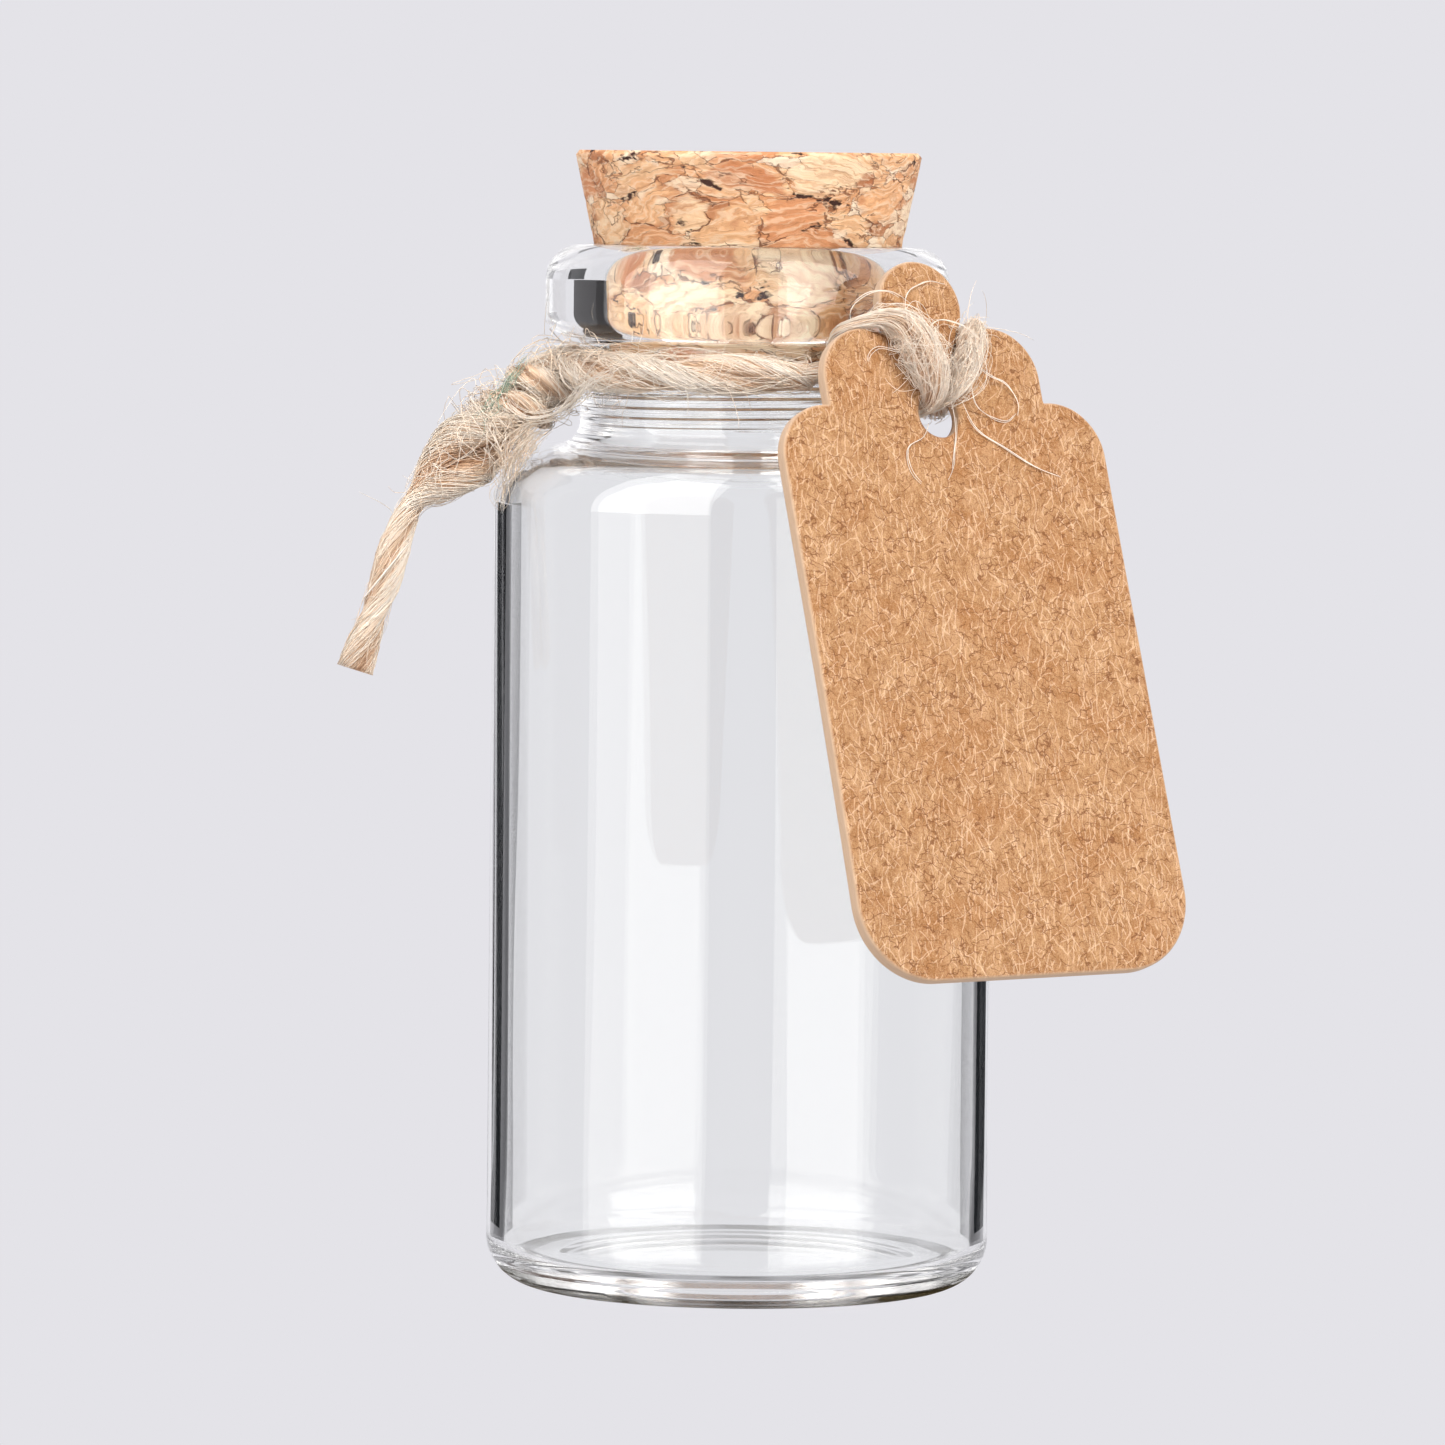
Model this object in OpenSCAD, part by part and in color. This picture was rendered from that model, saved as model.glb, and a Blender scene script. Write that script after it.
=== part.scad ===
// Small glass vial with a tapered cork, a turn of jute twine round its neck and a scalloped card tag.
// Millimetres. The origin is the centre of the glass base, +Z is up and -Y is the front.

/* [Bottle] */
// Outside diameter of the body
body_d = 27; // [24:0.5:36]
// Height of the glass, from the base to the lip
bottle_h = 55.8; // [50:0.1:90]
// Thickness of the side wall
wall = 0.9; // [0.7:0.1:1.4]
// Thickness of the floor
floor_t = 1.7; // [1.2:0.1:3]
// Outside radius of the heel, between base and side
heel_r = 2.6; // [1.8:0.1:4]
// Depth that the shoulder top lies below the lip
shoulder_drop = 10.7; // [9:0.1:14]
// Outside radius of the shoulder
shoulder_r = 3.2; // [2:0.1:4]
// Radius of the hollow curve between shoulder and neck
neck_cove_r = 1.2; // [0.6:0.1:1.2]
// Outside diameter of the neck
neck_d = 17.8; // [16:0.1:18.2]
// Diameter of the straight bore
bore_d = 15.4; // [13:0.1:15.8]
// Rounding of the glass where the bore opens into the body
throat_r = 1.2; // [0.5:0.1:1.6]
// Rise of the hollow under the base
kick_h = 0.5; // [0.2:0.1:0.8]
// Diameter of the hollow under the base
kick_d = 19; // [14:0.5:19]
// Rise of the floor at its centre
floor_rise = 0.35; // [0.2:0.05:0.8]

/* [Bead rim] */
// Outside diameter of the bead
bead_d = 21.6; // [20.5:0.1:23]
// Height of the bead
bead_h = 5; // [4:0.1:6]
// Rounding of the top outer edge of the bead
bead_top_r = 1.9; // [1:0.1:2]
// Rounding of the lower outer edge of the bead
bead_low_r = 1.4; // [0.6:0.1:1.8]
// Rounding of the inner edge of the lip
lip_r = 0.9; // [0.5:0.1:1.1]

/* [Cork] */
// Diameter of the flat top of the cork
cork_top_d = 18.6; // [17.6:0.1:19.4]
// Height that the cork stands above the lip
cork_out = 5; // [3:0.1:7]
// Depth that the cork reaches into the mouth
cork_in = 6.8; // [4:0.1:8]
// Slope of the cork's side above the lip, in degrees
cork_taper = 12; // [9:0.5:13]
// Amount that the cork narrows on the radius inside the bore
cork_narrow = 0.35; // [0.1:0.05:0.6]
// Bevel on both edges of the cork
cork_bevel = 0.25; // [0.1:0.05:0.5]
// Clearance between the cork and the glass
cork_fit = 0.06; // [0.04:0.01:0.1]

/* [Tag] */
// Width of the tag
tag_w = 20; // [18:0.5:24]
// Length of the tag from the centre of its hole to its bottom edge
tag_reach = 30.2; // [22:0.2:34]
// Thickness of the card
tag_t = 0.8; // [0.4:0.1:1]
// Radius of the two bottom corners
tag_corner_r = 4.2; // [2:0.1:6]
// Radius of the two upper corners
tag_shoulder_r = 3.0; // [1.5:0.1:3.2]
// Height of the upper corners' flat above the hole
tag_shoulder_up = 0.6; // [0:0.1:1]
// Diameter of the punched hole
hole_d = 2.5; // [2.4:0.1:3]
// Radius of the top lobe
top_lobe_r = 2.5; // [2:0.1:2.8]
// Height of the top lobe's centre above the hole
top_lobe_up = 5.9; // [5.5:0.1:6.5]
// Radius of the two side lobes
side_lobe_r = 2.85; // [2.5:0.05:3]
// Distance of a side lobe's centre from the middle of the tag
side_lobe_out = 3.85; // [3.6:0.05:4]
// Height of a side lobe's centre above the hole
side_lobe_up = 1.9; // [1.6:0.1:2.1]
// Radius of the round field of card about the hole
hole_field_r = 3; // [2.6:0.1:3.2]
// Height of that field's centre above the hole
hole_field_up = 2.4; // [2:0.1:2.6]

/* [Tag place] */
// Turn of the tag to the right, in degrees
tag_yaw = 32; // [0:1:60]
// Angle that the tag's lower end stands out from the bottle, in degrees
tag_lean = 19; // [12:1:24]
// Depth of the hole's centre below the lip
hole_drop = 8.7; // [8:0.1:10]
// Distance of the hole to the right of the tag's nearest line to the axis
hole_side = 2.2; // [1.6:0.1:3]
// Clearance between the back of the tag and the bottle
tag_gap = 1.4; // [1.3:0.1:2.5]

/* [Twine] */
// Diameter of the twine
twine_d = 2; // [1.6:0.1:2]
// Clearance between the twine and the neck
twine_gap = 0.2; // [0.2:0.05:0.4]
// Depth of the turn's centre below the lip
turn_drop = 6.7; // [6.6:0.1:7]

/* [Hidden] */
$fn = 96;

// Bottle, as radii and heights
body_r = body_d / 2;
neck_r = neck_d / 2;
bore_r = bore_d / 2;
bead_r = bead_d / 2;
shoulder_z = bottle_h - shoulder_drop;
ceiling_z = shoulder_z - wall;
inner_heel_r = heel_r - wall;
inner_shoulder_r = shoulder_r - wall;
bead_cove_r = 0.4;
overlap = 1;

// Tag frame: right along the card, up along the card, out of the card's face
tag_right = [cos(tag_yaw), sin(tag_yaw), 0];
tag_front = [sin(tag_yaw), -cos(tag_yaw), 0];
tag_up = [-sin(tag_lean) * tag_front.x, -sin(tag_lean) * tag_front.y, cos(tag_lean)];
tag_out = [cos(tag_lean) * tag_front.x, cos(tag_lean) * tag_front.y, sin(tag_lean)];

// How far a rounded ring of the bottle reaches towards the tag
function ring_reach(r, z, edge_r) = cos(tag_lean) * r + sin(tag_lean) * z + edge_r;
bead_reach = ring_reach(bead_r - bead_top_r, bottle_h - bead_top_r, bead_top_r);
shoulder_reach = ring_reach(body_r - shoulder_r, shoulder_z - shoulder_r, shoulder_r);
tag_mid = max(bead_reach, shoulder_reach) + tag_gap + tag_t / 2;
hole_z = bottle_h - hole_drop;
hole_reach = (tag_mid - sin(tag_lean) * hole_z) / cos(tag_lean);
hole_at = hole_reach * tag_front + hole_side * tag_right + [0, 0, hole_z];
function on_tag(p) = hole_at + p[0] * tag_right + p[1] * tag_up + p[2] * tag_out;

// Turn of twine round the neck, by angle from the front towards the right
turn_r = neck_r + twine_gap + twine_d / 2;
turn_z = bottle_h - turn_drop;
turn_step = 15;
function turn_at(a) = [turn_r * sin(a), -turn_r * cos(a), turn_z];
front_from = -64;
front_to = 19;
back_from = 86;
back_to = 276;
function turn_route(a0, a1) = [
    for (i = [0:ceil((a1 - a0) / turn_step)])
        concat(turn_at(a0 + i * (a1 - a0) / ceil((a1 - a0) / turn_step)), twine_d / 2)
];

// Cord routes: three coordinates and the radius at each point
// Hitch, on the tag's own frame with the hole as its zero
hitch_points = [
    [-3.8, 3.8, -2.7, 0.7], [-4.0, 4.4, -2.0, 0.6], [-4.0, 5.0, -1.3, 0.55], [-3.7, 5.8, -0.5, 0.65],
    [-3.5, 5.9, 0.5, 0.75], [-2.8, 5.5, 1.3, 0.8], [-2.0, 4.4, 1.4, 0.9], [-1.4, 3.0, 1.4, 0.9],
    [-0.9, 1.7, 1.3, 0.75], [-0.6, 0.7, 1.0, 0.55], [-0.6, 0.1, 0.4, 0.55], [-0.6, 0.0, -0.4, 0.55],
    [-0.5, 0.6, -1.1, 0.55], [0.2, 1.6, -1.2, 0.6], [1.2, 3.2, -1.2, 0.6], [2.5, 4.8, -1.2, 0.6],
    [3.5, 5.7, -0.5, 0.7], [3.4, 5.9, 0.5, 0.75], [2.7, 5.4, 1.3, 0.8], [2.0, 4.4, 1.4, 0.9],
    [1.4, 3.0, 1.4, 0.9], [0.9, 1.7, 1.3, 0.75], [0.6, 0.7, 1.0, 0.55], [0.6, 0.1, 0.4, 0.55],
    [0.6, 0.0, -0.4, 0.55], [0.8, -0.3, -1.2, 0.6], [1.2, -0.1, -1.9, 0.7], [1.6, 0.3, -2.5, 0.7]
];
// Leg from the hitch to the back turn, on the tag's own frame
leg_points = [[2.0, 0.8, -3.1, 0.8], [2.5, 1.5, -3.8, 0.9], [3.1, 2.4, -4.5, 1]];
// Knot and tail, on the bottle's frame
knot_points = [
    [-9.9, -3.2, 49.0, 0.9], [-10.4, -3.3, 48.8, 1.7], [-11.0, -3.4, 48.2, 2.2], [-11.8, -3.5, 47.4, 2.0],
    [-12.7, -3.7, 46.6, 1.7], [-13.6, -3.8, 45.8, 2.1], [-14.8, -4.0, 44.7, 2.2], [-15.9, -4.2, 43.7, 1.9],
    [-16.8, -4.3, 42.8, 1.4], [-17.2, -4.4, 42.1, 1.1]
];
tail_points = [
    [-17.4, -4.4, 41.7, 1], [-18.0, -4.5, 40.5, 1], [-18.6, -4.6, 39.0, 1], [-19.1, -4.7, 37.4, 1],
    [-19.8, -4.8, 35.6, 1], [-20.4, -4.9, 34.2, 1], [-20.9, -5.0, 33.0, 1]
];
cord_sides = 8;

// Upright rectangle against the axis with its outer lower and upper corners rounded
module rounded_half(w, h, low_r, top_r) {
    square([w - low_r, h / 2]);
    translate([0, h / 2]) square([w - top_r, h / 2]);
    translate([0, low_r]) square([w, h - low_r - top_r]);
    translate([w - low_r, low_r]) circle(r = low_r);
    translate([w - top_r, h - top_r]) circle(r = top_r);
}

// Hollow curve that fills an inside corner; up is 1 above a shelf and -1 below one
module cove(x, z, r, up) {
    difference() {
        translate([x - overlap, up > 0 ? z - overlap : z - r]) square([r + overlap, r + overlap]);
        translate([x + r, z + up * r]) circle(r = r);
    }
}

// Cap of a large sphere: a dome of height h over a circle of diameter d, its rim at height z
module dome(d, h, z) {
    r = (d * d / 4 + h * h) / (2 * h);
    translate([0, 0, z + h - r]) sphere(r = r, $fn = 180);
}

// Glass: outer form less the room inside and the hollow under the base
module glass_bottle() {
    color("lightcyan")
    difference() {
        union() {
            rotate_extrude() {
                difference() {
                    bottle_outside();
                    bottle_inside();
                }
            }
            floor_swell();
        }
        dome(kick_d, kick_h, 0);
    }
}

module bottle_outside() {
    rounded_half(body_r, shoulder_z, heel_r, shoulder_r);
    translate([0, shoulder_z - overlap]) square([neck_r, bottle_h - bead_h - shoulder_z + 2 * overlap]);
    cove(neck_r, shoulder_z, neck_cove_r, 1);
    cove(neck_r, bottle_h - bead_h, bead_cove_r, -1);
    translate([0, bottle_h - bead_h]) rounded_half(bead_r, bead_h, bead_low_r, bead_top_r);
}

module bottle_inside() {
    translate([0, floor_t])
        rounded_half(body_r - wall, ceiling_z - floor_t, inner_heel_r, inner_shoulder_r);
    translate([0, ceiling_z - overlap]) square([bore_r, bottle_h - ceiling_z + 2 * overlap]);
    cove(bore_r, ceiling_z, throat_r, 1);
    difference() {
        translate([bore_r - overlap, bottle_h - lip_r]) square([lip_r + overlap, lip_r + overlap]);
        translate([bore_r + lip_r, bottle_h - lip_r]) circle(r = lip_r);
    }
}

// Slight rise in the middle of the floor
module floor_swell() {
    intersection() {
        dome(kick_d, floor_rise, floor_t);
        translate([0, 0, floor_t / 2]) cylinder(d = kick_d, h = floor_t);
    }
}

// Cork: tapered above the lip, squeezed narrower where it passes the mouth
module cork_stopper() {
    lip_z = bottle_h - lip_r;
    top_z = bottle_h + cork_out;
    low_z = bottle_h - cork_in;
    top_r = cork_top_d / 2;
    mouth_r = bore_r - cork_fit;
    low_r = mouth_r - cork_narrow;
    side_r = top_r - (top_z - lip_z) * tan(cork_taper);
    color("burlywood")
    rotate_extrude()
        difference() {
            polygon([
                [0, low_z], [low_r - cork_bevel, low_z], [low_r, low_z + cork_bevel], [mouth_r, lip_z],
                [side_r, lip_z], [top_r - cork_bevel * tan(cork_taper), top_z - cork_bevel],
                [top_r - cork_bevel, top_z], [0, top_z]
            ]);
            translate([bore_r + lip_r, lip_z]) circle(r = lip_r + cork_fit);
        }
}

// Tag outline: body with rounded corners, three lobes and a field about the hole
module tag_outline() {
    body_top = tag_shoulder_up;
    half_w = tag_w / 2;
    side = side_lobe_out + side_lobe_r;
    difference() {
        union() {
            translate([-half_w, -tag_reach + tag_corner_r])
                square([tag_w, tag_reach - tag_corner_r + body_top - tag_shoulder_r]);
            translate([tag_corner_r - half_w, -tag_reach]) square([tag_w - 2 * tag_corner_r, tag_reach]);
            translate([tag_shoulder_r - half_w, -1])
                square([tag_w - 2 * tag_shoulder_r, body_top + 1]);
            translate([-side, body_top - 1]) square([2 * side, side_lobe_up - body_top + 1]);
            translate([0, hole_field_up]) circle(r = hole_field_r);
            translate([0, top_lobe_up]) circle(r = top_lobe_r);
            for (hand = [-1, 1]) {
                translate([hand * (half_w - tag_corner_r), tag_corner_r - tag_reach])
                    circle(r = tag_corner_r);
                translate([hand * (half_w - tag_shoulder_r), body_top - tag_shoulder_r])
                    circle(r = tag_shoulder_r);
                translate([hand * side_lobe_out, side_lobe_up]) circle(r = side_lobe_r);
            }
        }
        circle(d = hole_d);
    }
}

module paper_tag() {
    color("peru")
    translate(hole_at)
    rotate([0, 0, tag_yaw])
    rotate([90 - tag_lean, 0, 0])
    translate([0, 0, -tag_t / 2])
    linear_extrude(tag_t) tag_outline();
}

// Direction of a route at point i, from its neighbours
function heading(route, i) =
    let (a = route[max(i - 1, 0)], b = route[min(i + 1, len(route) - 1)], d = [for (k = [0:2]) b[k] - a[k]])
    d / norm(d);

// The part of v that is square to direction t, at unit length
function squared(v, t) = let (w = v - (v * t) * t) w / norm(w);

// Side vectors carried along the route without twist
function sides(route, first) = [
    for (i = 0, s = squared(first, heading(route, 0)); i < len(route);
         i = i + 1, s = i < len(route) ? squared(s, heading(route, i)) : s) s
];

// Plain cord: one ring of corners at each route point, joined by triangles
module cord(route, first) {
    n = cord_sides;
    last = len(route) - 1;
    across = sides(route, first);
    corners = [
        for (i = [0:last])
            let (t = heading(route, i), s = across[i], c = cross(t, s), p = route[i])
            for (k = [0:n - 1])
                [p[0], p[1], p[2]] + p[3] * (cos(360 * k / n) * s + sin(360 * k / n) * c)
    ];
    skin = [
        for (i = [0:last - 1], k = [0:n - 1])
            let (a = i * n + k, b = i * n + (k + 1) % n)
            each [[a, a + n, b], [b, a + n, b + n]]
    ];
    ends = [[for (k = [0:n - 1]) k], [for (k = [n - 1:-1:0]) last * n + k]];
    polyhedron(points = corners, faces = concat(skin, ends));
}

function placed_on_tag(points) = [for (p = points) concat(on_tag(p), p[3])];

module front_twine() {
    color("wheat") cord(turn_route(front_from, front_to), [0, 0, 1]);
}

module back_twine() {
    color("wheat") cord(concat(placed_on_tag(leg_points), turn_route(back_from, back_to)), [0, 0, 1]);
}

module twine_knot() {
    color("tan") cord(knot_points, [0, 1, 0]);
}

module twine_tail() {
    color("wheat") cord(tail_points, [0, 1, 0]);
}

module tag_hitch() {
    color("tan") cord(placed_on_tag(hitch_points), tag_right);
}

glass_bottle();
cork_stopper();
paper_tag();
front_twine();
back_twine();
twine_knot();
twine_tail();
tag_hitch();
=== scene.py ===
"""Looks of a small corked glass bottle with jute twine and a scalloped kraft card tag.

Lengths in the tables below are millimetres, on the frame of the part: the origin is the centre of the
glass base, +Z is up, -Y is the front and +X is the side that the tag hangs on. The camera and the studio
are in metres.
"""

import math

import bpy
import numpy as np
from mathutils import Matrix, Vector


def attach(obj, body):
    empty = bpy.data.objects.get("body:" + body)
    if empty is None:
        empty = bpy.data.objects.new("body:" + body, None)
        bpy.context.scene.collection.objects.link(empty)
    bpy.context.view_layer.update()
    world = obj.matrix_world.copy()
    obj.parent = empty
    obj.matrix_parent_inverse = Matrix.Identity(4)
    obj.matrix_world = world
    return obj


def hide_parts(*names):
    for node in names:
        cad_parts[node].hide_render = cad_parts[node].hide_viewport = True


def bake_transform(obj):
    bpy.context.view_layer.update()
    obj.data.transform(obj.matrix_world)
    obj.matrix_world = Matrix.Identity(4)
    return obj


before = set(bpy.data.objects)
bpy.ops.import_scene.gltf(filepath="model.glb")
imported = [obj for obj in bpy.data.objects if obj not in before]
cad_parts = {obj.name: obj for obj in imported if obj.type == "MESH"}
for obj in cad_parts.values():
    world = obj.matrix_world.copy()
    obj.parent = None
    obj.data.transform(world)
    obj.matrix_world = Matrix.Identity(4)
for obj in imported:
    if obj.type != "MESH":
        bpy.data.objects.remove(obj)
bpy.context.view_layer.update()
MM = 0.001

# Sizes of the part
BODY_R, BOTTLE_H, WALL, FLOOR_T = 13.5, 55.8, 0.9, 1.7
SHOULDER_Z, SHOULDER_R, NECK_R, BORE_R, LIP_R = 45.1, 3.2, 8.9, 7.7, 0.9
BEAD_R, UNDER_BEAD, OVER_LIP = 10.8, 50.6, 56.2
RINGS_LOW, RINGS_HIGH = 45.55, 48.95
CORK_TOP, CORK_LOW = 60.8, 49.0
HOLE_AT, HOLE_R, TAG_T = np.array([9.896, -11.686, 47.1]), 1.25, 0.8
TAG_YAW, TAG_LEAN = math.radians(32), math.radians(19)
TURN_R, TURN_Z = 10.1, 49.1

TAG_RIGHT = np.array([math.cos(TAG_YAW), math.sin(TAG_YAW), 0.0])
TAG_FRONT = np.array([math.sin(TAG_YAW), -math.cos(TAG_YAW), 0.0])
TAG_UP = np.array([*(-math.sin(TAG_LEAN) * TAG_FRONT[:2]), math.cos(TAG_LEAN)])
TAG_OUT = np.array([*(math.cos(TAG_LEAN) * TAG_FRONT[:2]), math.sin(TAG_LEAN)])


def on_tag(points):
    """Tag coordinates (right, up, out) of each point, carried to the part's frame from the hole's centre."""
    p = np.asarray(points, float)
    return HOLE_AT + p[..., :1] * TAG_RIGHT + p[..., 1:2] * TAG_UP + p[..., 2:3] * TAG_OUT


# Camera, with its eye and aim in metres and its roll in degrees
LENS, SENSOR, ROLL = 217.64, 36.0, 0.65
EYE, AIM = Vector((0, -0.468, 0.0608)), Vector((-0.00107, 0, 0.0302))


def aimed(eye, aim):
    """Placement of a camera or a light at a point, looking at another."""
    return Matrix.Translation(eye) @ (aim - eye).to_track_quat("-Z", "Y").to_matrix().to_4x4()


def set_camera():
    """A long lens at cork height, aimed a little left of the axis and rolled so that the top leans right."""
    data = bpy.data.cameras.new("studio_camera")
    data.lens, data.sensor_width = LENS, SENSOR
    camera = bpy.data.objects.new("studio_camera", data)
    bpy.context.scene.collection.objects.link(camera)
    camera.matrix_world = aimed(EYE, AIM) @ Matrix.Rotation(math.radians(ROLL), 4, "Z")
    bpy.context.scene.camera = camera


set_camera()


# Mesh helpers
def make_piece(name, points, quads, tris, material, smooth=True, tones=None):
    """A mesh piece from whole arrays: points in millimetres, faces of four and of three corners.
    Tones is one number per point, kept as the attribute tone."""
    points = np.asarray(points, float).reshape(-1, 3) * MM
    quads = np.asarray(quads, np.int32).reshape(-1, 4)
    tris = np.asarray([] if tris is None else tris, np.int32).reshape(-1, 3)
    mesh = bpy.data.meshes.new(name)
    mesh.vertices.add(len(points))
    mesh.vertices.foreach_set("co", points.astype(np.float32).ravel())
    corners = np.concatenate([quads.ravel(), tris.ravel()])
    mesh.loops.add(len(corners))
    mesh.loops.foreach_set("vertex_index", corners)
    mesh.polygons.add(len(quads) + len(tris))
    starts = np.concatenate([np.arange(len(quads)) * 4, len(quads) * 4 + np.arange(len(tris)) * 3])
    mesh.polygons.foreach_set("loop_start", starts.astype(np.int32))
    mesh.polygons.foreach_set("use_smooth", np.full(len(starts), smooth))
    if tones is not None:
        tone = mesh.attributes.new("tone", "FLOAT", "POINT")
        tone.data.foreach_set("value", np.asarray(tones, np.float32).ravel())
    mesh.update(calc_edges=True)
    mesh.validate()
    mesh.materials.append(material)
    piece = bpy.data.objects.new(name, mesh)
    bpy.context.scene.collection.objects.link(piece)
    return piece


def grid_quads(rows, columns, wrap_rows=False, wrap_columns=False):
    """Four-cornered faces of a grid of points; a wrapped side joins its last line to its first."""
    i = np.arange(rows if wrap_rows else rows - 1)[:, None]
    j = np.arange(columns if wrap_columns else columns - 1)[None, :]
    i2, j2 = (i + 1) % rows, (j + 1) % columns
    corners = [i * columns + j, i * columns + j2, i2 * columns + j2, i2 * columns + j]
    return np.stack(corners, -1).reshape(-1, 4)


def end_fans(rows, sides):
    """Triangles that close a tube's ends, each round one of two points that follow the tube's own."""
    j = np.arange(sides)
    j2 = (j + 1) % sides
    end, tip = (rows - 1) * sides, rows * sides
    first = np.stack([np.full(sides, tip), j2, j], 1)
    last = np.stack([np.full(sides, tip + 1), end + j, end + j2], 1)
    return np.concatenate([first, last])


def arc(cx, cz, r, a0, a1, n=14):
    """Points on a circle of radius r about (cx, cz) from angle a0 to a1, in degrees."""
    a = np.radians(np.linspace(a0, a1, n))
    return np.stack([cx + r * np.cos(a), cz + r * np.sin(a)], 1)


def cap(r, low, high, outward, n=22):
    """Profile of a shallow sphere cap, with its height high on the axis and low at radius r. The sphere's
    radius is (r^2 + h^2) / 2h, with h the difference of the two heights."""
    big = (r * r + (high - low) ** 2) / (2 * (high - low))
    x = np.linspace(0, r, n)
    line = np.stack([x, high - big + np.sqrt(big * big - x * x)], 1)
    return line if outward else line[::-1]


def no_doubles(line):
    """A profile without the points that fall on the one before."""
    return line[np.r_[True, np.linalg.norm(np.diff(line, axis=0), axis=1) > 1e-4]]


def eased(parts, near=0.06, step=1.6):
    """Joins profile runs. Each straight between two runs gets points close to its ends and along it,
    so that smooth shading stays true where a straight meets a curve."""
    out = [parts[0]]
    for run in parts[1:]:
        a, b = out[-1][-1], run[0]
        far = float(np.linalg.norm(b - a))
        if far > 3 * near:
            inner = np.arange(step, far - step / 2, step) / far
            t = np.concatenate([[near / far], inner, [1 - near / far]])
            out.append(a + (b - a) * t[:, None])
        out.append(run)
    return no_doubles(np.concatenate(out))


def lathe(name, profile, material, segments, wobble):
    """Surface of revolution. A profile of (radius, height) that starts and ends on the axis is turned about
    Z: x = r cos t, y = r sin t. Wobble(t, z, r) is added to the radius. Both poles are closed with a fan."""
    t = np.linspace(0, 2 * math.pi, segments, endpoint=False)[None, :]
    r, z = profile[1:-1, 0][:, None], profile[1:-1, 1][:, None]
    radius = r + wobble(t, z, r)
    ring = np.stack([radius * np.cos(t), radius * np.sin(t), z + 0 * t], -1)
    points = np.concatenate([ring.reshape(-1, 3), [[0, 0, profile[0, 1]], [0, 0, profile[-1, 1]]]])
    quads, tris = grid_quads(len(ring), segments, wrap_columns=True), end_fans(len(ring), segments)
    if signed_volume(points, quads, tris) < 0:
        quads, tris = quads[:, ::-1], tris[:, ::-1]
    return make_piece(name, points, quads, tris, material)


def signed_volume(points, quads, tris):
    """Six times the volume inside a closed mesh, positive where its faces point outwards."""
    t = np.concatenate([quads[:, [0, 1, 2]], quads[:, [0, 2, 3]], tris])
    a, b, c = points[t[:, 0]], points[t[:, 1]], points[t[:, 2]]
    return float(np.einsum("ij,ij->i", a, np.cross(b, c)).sum())


# Shader helpers
def new_material(name):
    """An empty node material and its tree, with a principled shader on the output."""
    m = bpy.data.materials.new(name)
    m.use_nodes = True
    tree = m.node_tree
    tree.nodes.clear()
    out = tree.nodes.new("ShaderNodeOutputMaterial")
    bsdf = tree.nodes.new("ShaderNodeBsdfPrincipled")
    tree.links.new(bsdf.outputs[0], out.inputs[0])
    return m, tree, bsdf


def node(tree, kind, inputs=None, **settings):
    """A shader node with its settings, and inputs given as values or as sockets to link."""
    n = tree.nodes.new(kind)
    for k, v in settings.items():
        setattr(n, k, v)
    for k, v in (inputs or {}).items():
        if isinstance(v, bpy.types.NodeSocket):
            tree.links.new(v, n.inputs[k])
        else:
            n.inputs[k].default_value = v
    return n


def math_node(tree, operation, a, b=0.0, clamp=False):
    """One arithmetic step on two values or sockets."""
    return node(tree, "ShaderNodeMath", {0: a, 1: b}, operation=operation, use_clamp=clamp).outputs[0]


def times(tree, a, b):
    """The product of two values or sockets."""
    return math_node(tree, "MULTIPLY", a, b)


def plus(tree, a, b, clamp=False):
    """The sum of two values or sockets."""
    return math_node(tree, "ADD", a, b, clamp)


def minus(tree, a, b):
    """The difference of two values or sockets."""
    return math_node(tree, "SUBTRACT", a, b)


def vector_node(tree, operation, inputs):
    """One step on vectors; its outputs are the vector and, where it has one, the value."""
    return node(tree, "ShaderNodeVectorMath", inputs, operation=operation).outputs


def noise(tree, where, scale, detail=4.0, rough=0.5, distortion=0.0):
    """Noise value at a scale, in features per unit of the coordinate."""
    settings = {"Scale": scale, "Detail": detail, "Roughness": rough, "Distortion": distortion}
    return node(tree, "ShaderNodeTexNoise", {"Vector": where, **settings}).outputs["Fac"]


def stretched(tree, where, factors, turn=(0, 0, 0), move=(0, 0, 0)):
    """Coordinates scaled by a factor on each axis after a turn, so that a pattern runs along one way."""
    settings = {"Scale": factors, "Rotation": turn, "Location": move}
    return node(tree, "ShaderNodeMapping", {"Vector": where, **settings}).outputs[0]


def ramp(tree, value, stops):
    """Colour ramp with (place, colour) stops."""
    n = tree.nodes.new("ShaderNodeValToRGB")
    tree.links.new(value, n.inputs[0])
    e = n.color_ramp.elements
    while len(e) < len(stops):
        e.new(0.5)
    for k, (place, colour) in enumerate(stops):
        e[k].position, e[k].color = place, (*colour, 1)
    return n.outputs[0]


def step_between(tree, value, low, high):
    """0 below low, 1 above high, smooth between; low may be above high to turn it round."""
    bounds = {"Value": value, "From Min": low, "From Max": high}
    return node(tree, "ShaderNodeMapRange", bounds, clamp=True, interpolation_type="SMOOTHSTEP").outputs[0]


def near_value(tree, value, middle, far, close):
    """1 where a value is closer than close to the middle, 0 where it is further off than far."""
    return step_between(tree, math_node(tree, "ABSOLUTE", minus(tree, value, middle)), far, close)


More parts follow.
